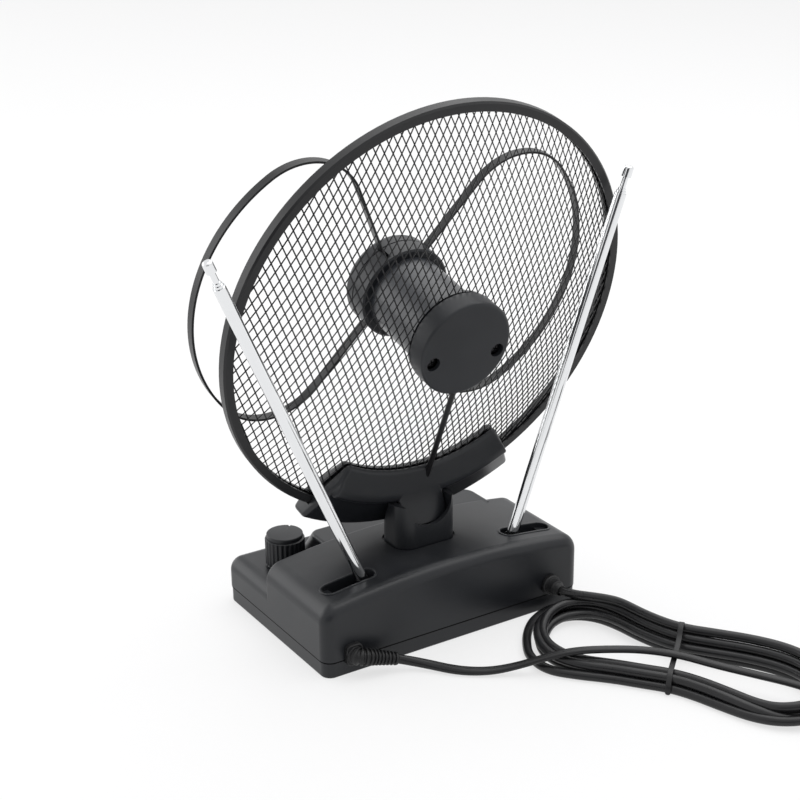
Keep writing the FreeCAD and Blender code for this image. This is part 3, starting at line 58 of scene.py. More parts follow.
# Route points of the leads in millimetres.
BOOT_ROUTE = ((68.2, 58.2, 12.6), (68.2, 62.6, 12.6), (64, 64.8, 12.2), (56.7, 65.4, 10), (46.2, 68.1, 7.2))
MAINS_ROUTE = (
    (52, 66.6, 8.8), (46.2, 68.1, 7.2), (33, 76.5, 3.8), (22, 90, 2.6), (8.5, 100, 2.6), (-5, 107, 5),
    (-18, 115, 10), (-31, 122.5, 13.6), (-46.5, 131, 13.8), (-63, 142, 13.6), (-75, 158, 14.2),
    (-84, 175, 13.6), (-96, 194, 13), (-108, 213, 12.5), (-118, 232, 10), (-129.2, 251.2, 5),
)
MAINS_END = ((-206.7, 247, 7), (-206.9, 239.5, 6.85), (-208.6, 233, 6.85), (-210.8, 224.5, 6.85))
COAX_ROUTE = (
    (-64, 55, 16.3), (-64, 63, 16.3), (-64.4, 69.5, 16.3), (-68.5, 77, 16.4), (-74.5, 84, 16.5),
    (-80, 91, 16.5),
)
COAX_END = (
    (-128.5, 181.5, 3.6), (-138.5, 190, 4.8), (-151, 192.5, 5.6), (-163.5, 188.6, 6), (-172, 181.4, 6),
    (-178, 175.6, 6),
)
HANK_OUTLINE = (
    (-86, 79), (-89.5, 97), (-91.5, 117), (-97, 136), (-109, 151), (-122, 168), (-131, 186), (-133, 203),
    (-127, 222), (-114, 236), (-96, 238), (-82, 227), (-74, 212), (-69, 195), (-64.5, 180), (-59, 168),
    (-50, 157), (-40, 144), (-27, 130), (-17.5, 116), (-19, 99), (-27.5, 85), (-36, 75), (-47, 66.5),
    (-62, 61.5), (-76, 65.5),
)
# The innermost strand's way round the hank, matched to the outline step by step.
HANK_INNER = (
    (-71.9, 89.2), (-76, 100), (-77.8, 119.6), (-84.6, 142.4), (-98, 159.6), (-110.1, 175.4), (-117.6, 190.2),
    (-119.5, 204), (-117, 214.7), (-108.9, 221.4), (-99.4, 222.1), (-91, 217.4), (-86.7, 208.8), (-82.4, 191),
    (-77.6, 175.1), (-70.8, 160.5), (-61, 148.3), (-50.7, 134.9), (-37.9, 121.2), (-33.5, 109.9),
    (-32.1, 100.1), (-35.5, 90.1), (-41.8, 83.7), (-49.7, 80.4), (-58.3, 80.4), (-65.4, 83.2),
)
# Where the coaxial strand lies in the hank: step round it, distance in from the outline, height.
HANK_KEYS = (
    (1, 5.8, 16.4), (3, 5.4, 16.2), (7.5, 5.4, 16.2), (12.5, 10.4, 7.3), (17.5, 10.4, 7.3), (21, 13.2, 8),
    (24, 9.5, 11.4), (27, 7, 12.2), (30, 8, 11.7), (34, 8, 11.7), (40, 13, 2.7), (43.5, 13, 2.7),
    (47, 14.5, 2.7), (50, 12, 5.5), (53, 10.6, 7.2), (60, 10.6, 7.2), (65.5, 7.8, 2.7), (69.5, 7.8, 2.7),
    (73, 10.4, 2.7), (76, 9, 2.7), (81, 8, 2.7), (86.5, 8, 2.7), (91.5, 5.2, 7.3), (95.5, 5.2, 7.3),
    (99, 9, 7.4), (102, 7.5, 7.6), (107, 5.4, 7.2), (112, 5.4, 7.2), (117, 2.6, 2.7), (121, 2.6, 2.7),
    (124, 0, 2.7), (128, 0, 2.7), (132, 2.8, 2.7), (136, 2.6, 2.7),
)
HANK_DEPTH = 14

# The mains coil in millimetres: its middle, the steps in a turn, its start, its lower layer and the rise
# to the upper one, which takes up a short share of the coil's length halfway through.
COIL_CENTRE = (-168, 249)
COIL_STEPS = 16
COIL_START = math.radians(28)
COIL_FLOOR = 2.7
COIL_LAYER = 5.2
RISE_START = 0.47
RISE_SHARE = 0.06

# Where the leads' fittings stand, in millimetres.
BOOT_WALL = (68.2, 58.7, 12.6)
BOOT_FLANGE = (10, 2.4, 12.4)
GLAND_WALL = (-64, 57.5, 16.3)
PLUG_REAR = (-209.8, 228.4, 6.85)
PLUG_TURN = math.radians(-14.5)
PLUG_FRONT = -36
PIN_OFFSET = 9.3
COAX_PLUG_REAR = (-175, 178.5, 6)
COAX_PLUG_WAY = (-0.722, -0.692, 0)

# The hank's tie: its middle on the floor, the way it runs, and its places along that way with their heights.
TIE_MIDDLE = (-77.3, 152.2)
TIE_WAY = (0.7564, 0.6541)
TIE_WIDTH = 3
TIE_MARKS = (
    (-26.2, 0.6), (-26.4, 2.8), (-24.8, 6.6), (-23.8, 10), (-23.6, 14), (-23.3, 17.8), (-20, 20),
    (-16.4, 18.6), (-13.4, 14.6), (-8, 12.6), (0, 11.8), (12.6, 11), (17.5, 11), (20.4, 10.4), (23, 7.8),
    (25.1, 5), (25.4, 2.8), (25.3, 0.6),
)

# The cradle's sections and the middle of its barrel, as Y and Z in the dish's frame, and its groove for the
# rim and the mesh as radius and height.
CRADLE_SECTION = ((-91, -14.5), (-103, -15.5), (-132, -5), (-132, 6.2), (-116, 6.2), (-91, -6.2))
RIDGE_SECTION = ((-95, -13.6), (-104, -17), (-109.5, -17.2), (-111, -15.6), (-110.5, -11), (-95, -11))
RIM_GROOVE = (
    (90.4, -12.3), (118.2, -3.8), (124, -3.8), (124, 3.8), (118.2, 3.8), (118.2, -0.2), (90.4, -10.3),
)
CRADLE_SPREAD = math.radians(63.5)
RIDGE_SPREAD = math.radians(62.7)
BARREL = (-121.1, -17.84)
BARREL_RADIUS = 9
TONGUE_WIDTH = 29

# The hub cap in the dish's frame, the knob's flutes and the rod slot on each side.
CAP_FACE = -37
CAP_RADIUS = 27.5
CAP_ROUND = 1.7
CAP_SCREW = (20, -4.8)
KNOB_FLUTES = 26
ROD_SLOT = (59, 39)
SIDES = (("left", 1), ("right", -1))

# Finishes of the solids that still show, apart from feet, rods and small steel parts.
DRESS = {
    "case plastic": ("base_cover", "base_tray", "neck_post", "tilt_pin", "rod_well_left", "rod_well_right"),
    "hub plastic": ("drum_rear", "drum_front"),
    "tube plastic": ("hub_tube",),
    "knob plastic": ("neck_nut",),
    "wire paint": ("rim_ring", "loop_left", "loop_right"),
    "lead jacket": ("feed_lead",),
    "tie film": ("mains_tie",),
    "board mask": ("amplifier_board", "balun_board"),
    "varnished core": ("mains_transformer",),
}


class AntennaView(bpy.types.PropertyGroup):
    azimuth: bpy.props.FloatProperty(
        name="Azimuth", description="Turn of the view round the antenna", default=math.radians(147.94),
        subtype="ANGLE")
    elevation: bpy.props.FloatProperty(
        name="Elevation", description="Height of the view above the horizon", default=math.radians(21.38),
        subtype="ANGLE")
    roll: bpy.props.FloatProperty(
        name="Roll", description="Lean of the camera", default=math.radians(-0.71), subtype="ANGLE")
    distance: bpy.props.FloatProperty(
        name="Distance", description="From the camera to the target", default=0.9588, unit="LENGTH")
    across: bpy.props.FloatProperty(
        name="Across", description="Sideways step of the camera", default=-0.00035, unit="LENGTH")
    lift: bpy.props.FloatProperty(
        name="Lift", description="Upward step of the camera", default=0.02353, unit="LENGTH")
    target: bpy.props.FloatProperty(
        name="Target height", description="Height that the camera looks at", default=0.1, unit="LENGTH")
    lens: bpy.props.FloatProperty(
        name="Lens", description="Focal length in millimetres on a 36 mm sensor", default=76.1535)


class AntennaMesh(bpy.types.PropertyGroup):
    diamond_width: bpy.props.FloatProperty(
        name="Diamond width", description="Across one opening", default=4.6 * MM, unit="LENGTH")
    diamond_height: bpy.props.FloatProperty(
        name="Diamond height", description="Up one opening", default=8.6 * MM, unit="LENGTH")
    strand: bpy.props.FloatProperty(
        name="Strand", description="Width of the metal between openings", default=0.76 * MM, unit="LENGTH")
    turn: bpy.props.FloatProperty(
        name="Turn", description="Turn of the weave about the dish's axis", default=math.radians(5),
        subtype="ANGLE")
    radius: bpy.props.FloatProperty(
        name="Radius", description="Where the mesh ends in the rim's groove", default=120.8 * MM,
        unit="LENGTH")
    hole: bpy.props.FloatProperty(
        name="Hub hole", description="Radius of the hole for the hub", default=24.7 * MM, unit="LENGTH")
    depth: bpy.props.FloatProperty(
        name="Depth", description="Depth of the bowl", default=25 * MM, unit="LENGTH")
    reach: bpy.props.FloatProperty(
        name="Reach", description="Radius at which the bowl's depth is measured", default=121 * MM,
        unit="LENGTH")


class AntennaLeads(bpy.types.PropertyGroup):
    flex_width: bpy.props.FloatProperty(
        name="Mains width", description="Wide way across the flat mains flex", default=5.2 * MM,
        unit="LENGTH")
    flex_thickness: bpy.props.FloatProperty(
        name="Mains thickness", description="Narrow way across the flat mains flex", default=3.7 * MM,
        unit="LENGTH")
    coax_diameter: bpy.props.FloatProperty(
        name="Coaxial diameter", description="Across the coaxial lead", default=5.2 * MM, unit="LENGTH")
    coil_turns: bpy.props.IntProperty(
        name="Coil turns", description="Turns in each of the coil's two layers", default=4)
    coil_outer: bpy.props.FloatProperty(
        name="Coil outer radius", description="Middle of the outermost turn", default=34 * MM, unit="LENGTH")
    coil_inner: bpy.props.FloatProperty(
        name="Coil inner radius", description="Middle of the innermost turn", default=21.8 * MM,
        unit="LENGTH")
    mains_length: bpy.props.FloatProperty(
        name="Mains length", description="Whole length of the mains flex", default=1.8, unit="LENGTH")
    coax_length: bpy.props.FloatProperty(
        name="Coaxial length", description="Whole length of the coaxial lead", default=2.17, unit="LENGTH")
    boot_ribs: bpy.props.IntProperty(
        name="Boot ribs", description="Ribs on the mains strain relief", default=11)


class AntennaFinish(bpy.types.PropertyGroup):
    plastic: bpy.props.FloatVectorProperty(
        name="Plastic", description="Moulded case colour", default=(0.0125, 0.0138, 0.0165), subtype="COLOR")
    paint: bpy.props.FloatVectorProperty(
        name="Paint", description="Colour of the painted wire", default=(0.0095, 0.0098, 0.0108),
        subtype="COLOR")
    jacket: bpy.props.FloatVectorProperty(
        name="Jacket", description="Colour of the leads", default=(0.01, 0.01, 0.011), subtype="COLOR")
    chrome: bpy.props.FloatVectorProperty(
        name="Chrome", description="Colour of the plated rods", default=(0.8, 0.81, 0.82), subtype="COLOR")


class AntennaStudio(bpy.types.PropertyGroup):
    floor: bpy.props.FloatVectorProperty(
        name="Floor", description="Colour of the floor", default=(0.93, 0.93, 0.935), subtype="COLOR")
    backdrop: bpy.props.FloatVectorProperty(
        name="Backdrop", description="Colour behind the antenna", default=(0.96, 0.96, 0.965),
        subtype="COLOR")
    ambient: bpy.props.FloatProperty(
        name="Ambient", description="Strength of the light from all round", default=0.62)
    overhead: bpy.props.FloatProperty(
        name="Overhead", description="Power of the large soft light above", default=26, unit="POWER")
    side: bpy.props.FloatProperty(
        name="Side", description="Power of the soft light on the left of the view", default=28, unit="POWER")
    lift: bpy.props.FloatProperty(
        name="Shadow lift", description="Share of plain white in the floor that the camera sees",
        default=0.68, subtype="FACTOR")


def alone(piece=None):
    """Selects one object, or none, in object mode."""
    if bpy.context.object and bpy.context.object.mode != "OBJECT":
        bpy.ops.object.mode_set(mode="OBJECT")
    bpy.ops.object.select_all(action="DESELECT")
    if piece:
        piece.select_set(True)
        bpy.context.view_layer.objects.active = piece


def named(name):
    piece = bpy.context.object
    piece.name = name
    piece.data.name = name
    return piece


def applied(piece, kind, **settings):
    """Adds one modifier to a piece and applies it."""
    alone(piece)
    modifier = piece.modifiers.new(kind.title(), kind)
    for name, value in settings.items():
        setattr(modifier, name, value)
    bpy.ops.object.modifier_apply(modifier=modifier.name)
    return piece


def carved(piece, tool, operation="DIFFERENCE"):
    """Cuts a piece with a tool, or joins the two, takes the tool away and merges what lies too close."""
    applied(piece, "BOOLEAN", operation=operation, solver="EXACT", object=tool)
    bpy.data.objects.remove(tool)
    bpy.ops.object.mode_set(mode="EDIT")
    bpy.ops.mesh.select_all(action="SELECT")
    bpy.ops.mesh.remove_doubles(threshold=0.01 * MM)
    bpy.ops.mesh.dissolve_degenerate(threshold=0.01 * MM)
    bpy.ops.object.mode_set(mode="OBJECT")
    return piece


def rounded(piece, width, segments, degrees):
    """Rounds the edges that are sharper than an angle, by a width in millimetres."""
    return applied(
        piece, "BEVEL", width=width * MM, segments=segments, limit_method="ANGLE",
        angle_limit=math.radians(degrees),
    )


def copied(piece, name):
    """Copies a piece with a mesh of its own."""
    alone(piece)
    bpy.ops.object.duplicate()
    return named(name)


def block(name, size, place=(0, 0, 0)):
    """Cuboid about a place, in millimetres, to be shaped further."""
    alone()
    bpy.ops.mesh.primitive_cube_add(size=1)
    scale = Matrix.Diagonal((*(Vector(size) * MM), 1))
    return settled(named(name), Matrix.Translation(Vector(place) * MM) @ scale)


def faced_out():
    """Turns every face of the mesh in edit mode outwards and leaves edit mode."""
    bpy.ops.mesh.select_all(action="SELECT")
    bpy.ops.mesh.normals_make_consistent(inside=False)
    bpy.ops.object.mode_set(mode="OBJECT")


def pick(piece, faces=None, edges=None, points=None):
    """Goes into edit mode with only the elements that pass a test selected."""
    alone(piece)
    mode = (points is not None, edges is not None, faces is not None)
    bpy.ops.object.mode_set(mode="EDIT")
    bpy.context.tool_settings.mesh_select_mode = mode
    bpy.ops.mesh.select_all(action="DESELECT")
    bpy.ops.object.mode_set(mode="OBJECT")
    mesh = piece.data
    if faces:
        for face in mesh.polygons:
            face.select = faces(face)
    if edges:
        for edge in mesh.edges:
            edge.select = edges(*(mesh.vertices[index].co for index in edge.vertices))
    if points:
        for point in mesh.vertices:
            point.select = points(point.co)
    bpy.ops.object.mode_set(mode="EDIT")


def chain(name, places):
    """Draws a line through places by extruding one point, and stays in edit mode with all of it selected."""
    alone()
    bpy.ops.mesh.primitive_plane_add(size=MM)
    piece = named(name)
    bpy.ops.object.mode_set(mode="EDIT")
    bpy.ops.mesh.select_mode(type="VERT")
    bpy.ops.mesh.select_all(action="SELECT")
    bpy.ops.mesh.merge(type="CENTER")
    bpy.ops.transform.translate(value=places[0])
    for before, after in zip(places, places[1:]):
        bpy.ops.mesh.extrude_vertices_move(TRANSFORM_OT_translate={"value": after - before})
    bpy.ops.mesh.select_all(action="SELECT")
    return piece


def lathe(name, profile, turns=40):
    """Spins a profile of radius and height about Z, closed on the axis or on itself."""
    start, end = profile[0], profile[-1]
    if start[0] and end[0]:
        profile = [*profile, start]
    elif start[0]:
        profile = [(0, start[1]), *profile]
    elif end[0]:
        profile = [*profile, (0, end[1])]
    piece = chain(name, [Vector((radius, 0, height)) * MM for radius, height in profile])
    bpy.ops.mesh.spin(steps=turns, angle=2 * math.pi, center=(0, 0, 0), axis=(0, 0, 1))
    bpy.ops.mesh.select_all(action="SELECT")
    bpy.ops.mesh.remove_doubles(threshold=0.001 * MM)
    faced_out()
    return piece


def joined(name, pieces):
    alone(pieces[0])
    for piece in pieces:
        piece.select_set(True)
    bpy.ops.object.join()
    return named(name)


def settled(piece, place):
    """Gives a piece its place and puts that into its mesh."""
    alone(piece)
    piece.matrix_world = place
    bpy.ops.object.transform_apply(location=True, rotation=True, scale=True)
    return piece


def kept(piece, finish, body, slot, *stood_for, angle=35):
    """Smooths a finished piece, gives it its finish and lets it ride on its body."""
    if piece.type == "MESH":
        alone(piece)
        bpy.ops.object.shade_smooth_by_angle(angle=math.radians(angle))
    piece.data.materials.clear()
    piece.data.materials.append(bpy.data.materials[finish])
    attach(piece, body)
    if stood_for:
        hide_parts(*stood_for)
    return piece


def route(name, points, tilts=None):
    """Smooth curve whose control points are a lead's route points, in millimetres."""
    curve = bpy.data.curves.new(name, "CURVE")
    curve.dimensions = "3D"
    curve.twist_mode = "Z_UP"
    curve.resolution_u = 8
    curve.use_fill_caps = True
    spline = curve.splines.new("NURBS")
    spline.points.add(len(points) - 1)
    for index, place in enumerate(points):
        spline.points[index].co = (*(Vector(place) * MM), 1)
        spline.points[index].tilt = tilts[index] if tilts else 0
    spline.order_u = 3
    spline.use_endpoint_u = True
    piece = bpy.data.objects.new(name, curve)
    bpy.context.collection.objects.link(piece)
    return piece


def middle_line(piece):
    mesh = bpy.data.meshes.new_from_object(piece)
    line = [tuple(point.co) for point in mesh.vertices]
    bpy.data.meshes.remove(mesh)
    return line


class ANTENNA_OT_camera(bpy.types.Operator):
    """Stands the camera where the photograph was taken"""
    bl_idname = "antenna.camera"
    bl_label = "Camera"

    def execute(self, context):
        view = context.scene.antenna_view
        turn = view.azimuth
        rise = view.elevation
        back = Vector((math.sin(turn) * math.cos(rise), -math.cos(turn) * math.cos(rise), math.sin(rise)))
        level = Vector((0, 0, 1)).cross(back).normalized()
        upright = back.cross(level)
        right = math.cos(view.roll) * level + math.sin(view.roll) * upright
        up = math.cos(view.roll) * upright - math.sin(view.roll) * level
        lens = bpy.data.cameras.new("camera")
        lens.sensor_width = 36
        lens.lens = view.lens
        camera = bpy.data.objects.new("camera", lens)
        context.collection.objects.link(camera)
        place = Vector((0, 0, view.target)) + view.across * right + view.lift * up + view.distance * back
        camera.matrix_world = Matrix.Translation(place) @ Matrix((right, up, back)).transposed().to_4x4()
        context.scene.camera = camera
        return {"FINISHED"}


class ANTENNA_OT_finishes(bpy.types.Operator):
    """Builds the shared effects and the finishes"""
    bl_idname = "antenna.finishes"
    bl_label = "Finishes"

    def execute(self, context):
        colours = context.scene.antenna_finish
        grain = moulded_grain()
        drawn = drawn_lines()
        dust = settled_dust()
        plastic_finish("case plastic", grain, dust, colours.plastic, 0.34, 2600, 0.08)
        plastic_finish("hub plastic", grain, dust, [c * 1.1 for c in colours.plastic], 0.36, 3200, 0.06)
        plastic_finish("tube plastic", grain, dust, [c * 2 for c in colours.plastic], 0.3, 3200, 0.05, 0.55)
        plastic_finish("knob plastic", grain, dust, [c * 0.8 for c in colours.plastic], 0.4, 2600, 0.08)
        plastic_finish("wire paint", grain, dust, colours.paint, 0.36, 900, 0.12)
        plastic_finish("lead jacket", grain, dust, colours.jacket, 0.3, 420, 0.08, 0.36)
        plastic_finish("boot rubber", grain, dust, [c * 0.9 for c in colours.jacket], 0.5, 1800, 0.1)
        plastic_finish("tie film", grain, dust, [c * 0.9 for c in colours.jacket], 0.42, 1500, 0.1)
        # Near-black matte finish of the parting band, painted shadow for the shade in the gap under the
        # cover's edge.
        plastic_finish("parting shade", grain, dust, (0.003, 0.003, 0.0033), 0.85, 1500, 0.1, 0.1)
        plastic_finish("foot rubber", grain, dust, (0.03, 0.03, 0.03), 0.75, 1500, 0.2)
        plastic_finish("board mask", grain, dust, (0.03, 0.14, 0.06), 0.4, 600, 0.1)
        plastic_finish("varnished core", grain, dust, (0.1, 0.09, 0.08), 0.5, 500, 0.2)
        metal_finish("rod chrome left", drawn, colours.chrome, 0.07, (0, math.radians(-24.4), 0))
        metal_finish("rod chrome right", drawn, colours.chrome, 0.07, (0, math.radians(16.2), 0))
        metal_finish("pin nickel", drawn, (0.66, 0.65, 0.62), 0.2, (math.radians(90), 0, 0))
        metal_finish("screw steel", drawn, (0.2, 0.2, 0.21), 0.33, (0, 0, 0))
        metal_finish("black screw", drawn, (0.035, 0.035, 0.037), 0.36, (0, 0, 0))
        metal_finish("dark steel", drawn, (0.11, 0.11, 0.115), 0.28, (0, 0, 0))
        return {"FINISHED"}


def group_with(name, inputs, outputs):
    group = bpy.data.node_groups.new(name, "ShaderNodeTree")
    for title, kind, value in inputs:
        socket = group.interface.new_socket(name=title, in_out="INPUT", socket_type=kind)
        socket.default_value = value
    for title, kind in outputs:
        group.interface.new_socket(name=title, in_out="OUTPUT", socket_type=kind)
    return group, group.nodes.new("NodeGroupInput"), group.nodes.new("NodeGroupOutput")


def noise(group, coordinates, scale, detail, roughness=0.5):
    item = group.nodes.new("ShaderNodeTexNoise")
    item.inputs["Detail"].default_value = detail
    item.inputs["Roughness"].default_value = roughness
    group.links.new(coordinates, item.inputs["Vector"])
    if isinstance(scale, (int, float)):
        item.inputs["Scale"].default_value = scale
    else:
        group.links.new(scale, item.inputs["Scale"])
    return item.outputs["Fac"]


def ramp(group, value, low, high, to_low, to_high):
    item = group.nodes.new("ShaderNodeMapRange")
    item.inputs["From Min"].default_value = low
    item.inputs["From Max"].default_value = high
    group.links.new(value, item.inputs["Value"])
    for socket, given in ((item.inputs["To Min"], to_low), (item.inputs["To Max"], to_high)):
        if isinstance(given, (int, float)):
            socket.default_value = given
        else:
            group.links.new(given, socket)
    return item.outputs["Result"]


def maths(group, kind, first, second):
    item = group.nodes.new("ShaderNodeMath")
    item.operation = kind
    for socket, given in zip(item.inputs, (first, second)):
        if isinstance(given, (int, float)):
            socket.default_value = given
        else:
            group.links.new(given, socket)
    return item.outputs["Value"]


def tinted(group, share, first, second):
    item = group.nodes.new("ShaderNodeMix")
    item.data_type = "RGBA"
    sockets = {socket.identifier: socket for socket in item.inputs}
    group.links.new(share, sockets["Factor_Float"])
    for key, given in (("A_Color", first), ("B_Color", second)):
        if isinstance(given, (tuple, list)):
            sockets[key].default_value = (*given, 1) if len(given) == 3 else given
        else:
            group.links.new(given, sockets[key])
    return {socket.identifier: socket for socket in item.outputs}["Result_Color"]


def moulded_grain():
    """Fine spark grain with slow drifts of tone and gloss."""
    group, given, made = group_with(
        "Moulded grain",
        (("Colour", "NodeSocketColor", (0.02, 0.02, 0.02, 1)), ("Roughness", "NodeSocketFloat", 0.4),
         ("Grain scale", "NodeSocketFloat", 2500), ("Grain depth", "NodeSocketFloat", 0.1)),
        (("Colour", "NodeSocketColor"), ("Roughness", "NodeSocketFloat"), ("Normal", "NodeSocketVector")),
    )
    place = group.nodes.new("ShaderNodeTexCoord").outputs["Object"]
    slow = noise(group, place, 28, 3)
    fine = noise(group, place, given.outputs["Grain scale"], 2, 0.6)
    lift = group.nodes.new("ShaderNodeVectorMath")
    lift.operation = "SCALE"
    group.links.new(given.outputs["Colour"], lift.inputs[0])
    group.links.new(ramp(group, slow, 0.3, 0.7, 0.86, 1.16), lift.inputs["Scale"])
    group.links.new(lift.outputs["Vector"], made.inputs["Colour"])
    drift = ramp(group, slow, 0.3, 0.7, -0.035, 0.035)
    speck = ramp(group, fine, 0.3, 0.7, -0.03, 0.03)
    rough = maths(group, "ADD", given.outputs["Roughness"], maths(group, "ADD", drift, speck))
    group.links.new(rough, made.inputs["Roughness"])
    bump = group.nodes.new("ShaderNodeBump")
    bump.inputs["Distance"].default_value = 0.0002
    group.links.new(given.outputs["Grain depth"], bump.inputs["Strength"])
    group.links.new(fine, bump.inputs["Height"])
    group.links.new(bump.outputs["Normal"], made.inputs["Normal"])
    return group


def settled_dust():
    """Thin pale film on upward faces, broken up by noise."""
    group, given, made = group_with(
        "Settled dust",
        (("Colour", "NodeSocketColor", (0.02, 0.02, 0.02, 1)), ("Roughness", "NodeSocketFloat", 0.4),
         ("Amount", "NodeSocketFloat", 0.03)),
        (("Colour", "NodeSocketColor"), ("Roughness", "NodeSocketFloat")),
    )
    place = group.nodes.new("ShaderNodeTexCoord").outputs["Object"]
    apart = group.nodes.new("ShaderNodeSeparateXYZ")
    group.links.new(group.nodes.new("ShaderNodeNewGeometry").outputs["Normal"], apart.inputs[0])
    upward = ramp(group, apart.outputs["Z"], 0.35, 1, 0, 1)
    cloud = ramp(group, noise(group, place, 60, 5, 0.65), 0.42, 0.75, 0.15, 1)
    share = maths(group, "MULTIPLY", maths(group, "MULTIPLY", upward, cloud), given.outputs["Amount"])
    group.links.new(tinted(group, share, given.outputs["Colour"], (0.5, 0.5, 0.5)), made.inputs["Colour"])
    rough = maths(group, "ADD", given.outputs["Roughness"], maths(group, "MULTIPLY", share, 1.5))
    group.links.new(rough, made.inputs["Roughness"])
    return group


def drawn_lines():
    """Hair lines along a drawn tube or pin, and slow smears across them."""
    group, given, made = group_with(
        "Drawn lines",
        (("Turn", "NodeSocketVector", (0, 0, 0)), ("Roughness", "NodeSocketFloat", 0.1)),
        (("Roughness", "NodeSocketFloat"), ("Normal", "NodeSocketVector")),
    )
    turned = group.nodes.new("ShaderNodeVectorRotate")
    turned.rotation_type = "EULER_XYZ"
    group.links.new(group.nodes.new("ShaderNodeTexCoord").outputs["Object"], turned.inputs["Vector"])
    group.links.new(given.outputs["Turn"], turned.inputs["Rotation"])
    stretch = group.nodes.new("ShaderNodeVectorMath")
    stretch.operation = "MULTIPLY"
    stretch.inputs[1].default_value = (2200, 2200, 30)
    group.links.new(turned.outputs["Vector"], stretch.inputs[0])
    lines = noise(group, stretch.outputs["Vector"], 1, 2)
    smear = noise(group, turned.outputs["Vector"], 90, 3)
    fine = ramp(group, lines, 0.3, 0.7, -0.015, 0.025)
    rough = maths(group, "ADD", fine, ramp(group, smear, 0.3, 0.7, -0.02, 0.03))
    group.links.new(maths(group, "ADD", rough, given.outputs["Roughness"]), made.inputs["Roughness"])
    bump = group.nodes.new("ShaderNodeBump")
    bump.inputs["Strength"].default_value = 0.03
    bump.inputs["Distance"].default_value = 0.0001
    group.links.new(lines, bump.inputs["Height"])
    group.links.new(bump.outputs["Normal"], made.inputs["Normal"])
    return group


def new_finish(name):
    material = bpy.data.materials.new(name)
    material.use_nodes = True
    tree = material.node_tree
    return tree, tree.nodes["Principled BSDF"]


def plastic_finish(name, grain, dust, colour, roughness, scale, depth, gloss=0.36):
    tree, shader = new_finish(name)
    texture = tree.nodes.new("ShaderNodeGroup")
    texture.node_tree = grain
    texture.inputs["Colour"].default_value = (*colour, 1)
    texture.inputs["Roughness"].default_value = roughness
    texture.inputs["Grain scale"].default_value = scale
    texture.inputs["Grain depth"].default_value = depth
    film = tree.nodes.new("ShaderNodeGroup")
    film.node_tree = dust
    film.inputs["Amount"].default_value = 0.025
    tree.links.new(texture.outputs["Colour"], film.inputs["Colour"])
    tree.links.new(texture.outputs["Roughness"], film.inputs["Roughness"])
    tree.links.new(film.outputs["Colour"], shader.inputs["Base Color"])
    tree.links.new(film.outputs["Roughness"], shader.inputs["Roughness"])
    tree.links.new(texture.outputs["Normal"], shader.inputs["Normal"])
    shader.inputs["Specular IOR Level"].default_value = gloss


def metal_finish(name, drawn, colour, roughness, turn):
    tree, shader = new_finish(name)
    lines = tree.nodes.new("ShaderNodeGroup")
    lines.node_tree = drawn
    lines.inputs["Turn"].default_value = turn
    lines.inputs["Roughness"].default_value = roughness
    shader.inputs["Base Color"].default_value = (*colour, 1)
    shader.inputs["Metallic"].default_value = 1
    tree.links.new(lines.outputs["Roughness"], shader.inputs["Roughness"])
    tree.links.new(lines.outputs["Normal"], shader.inputs["Normal"])


def coil_spot(step, radius):
    angle = COIL_START + 2 * math.pi * step / COIL_STEPS
    return COIL_CENTRE[0] + radius * math.cos(angle), COIL_CENTRE[1] + radius * math.sin(angle)


def coil_points(leads):
    """Turns of the mains coil: inwards on the floor, outwards on top, then on round to the plug's end."""
    points = []
    corner = math.cos(math.pi / COIL_STEPS)
    whole = 2 * leads.coil_turns * COIL_STEPS
    for step in range(whole + 1):
        share = step / whole
        inward = 1 - abs(2 * share - 1)
        radius = leads.coil_outer + (leads.coil_inner - leads.coil_outer) * inward
        rise = min(max((share - RISE_START) / RISE_SHARE, 0), 1)
        points.append((*coil_spot(step, radius / MM / corner), COIL_FLOOR + COIL_LAYER * rise))
    steps_left = int((math.pi - COIL_START) / (2 * math.pi) * COIL_STEPS)
    for step in range(1, steps_left):
        radius = leads.coil_outer / MM + 0.25 * step
        points.append((*coil_spot(step, radius), COIL_FLOOR + COIL_LAYER))
    return points


class ANTENNA_OT_mains_lead(bpy.types.Operator):
    """Lays the flat mains flex from its ribbed boot to its coil and plug"""
    bl_idname = "antenna.mains_lead"
    bl_label = "Mains lead"

    def execute(self, context):
        leads = context.scene.antenna_leads
        coil = coil_points(leads)
        edgeways = math.radians(90)
        points = [*MAINS_ROUTE, *coil, *MAINS_END]
        tilts = [math.radians(90 - 18 * min(index, 5)) for index in range(len(MAINS_ROUTE))]
        tilts += [edgeways] * len(coil) + [edgeways, edgeways, 0.8, 0]
        flex = route("mains_flex", points, tilts)
        line = middle_line(flex)
        alone()
        bpy.ops.curve.primitive_bezier_circle_add(radius=leads.flex_width / 2)
        section = named("flex_section")
        bpy.ops.object.mode_set(mode="EDIT")
        bpy.ops.curve.select_all(action="SELECT")
        bpy.ops.transform.resize(value=(1, leads.flex_thickness / leads.flex_width, 1))
        bpy.ops.object.mode_set(mode="OBJECT")
        section.data.resolution_u = 5
        flex.data.bevel_mode = "OBJECT"
        flex.data.bevel_object = section
        alone(flex)
        bpy.ops.object.convert(target="MESH")
        flex = named("mains_flex")
        bpy.data.objects.remove(section)
        boot = ribbed_boot(leads.boot_ribs)
        plug = mains_plug()
        kept(flex, "lead jacket", "base", "flex", "mains_cord", "mains_coil", "mains_tail", angle=60)
        return {"FINISHED"}


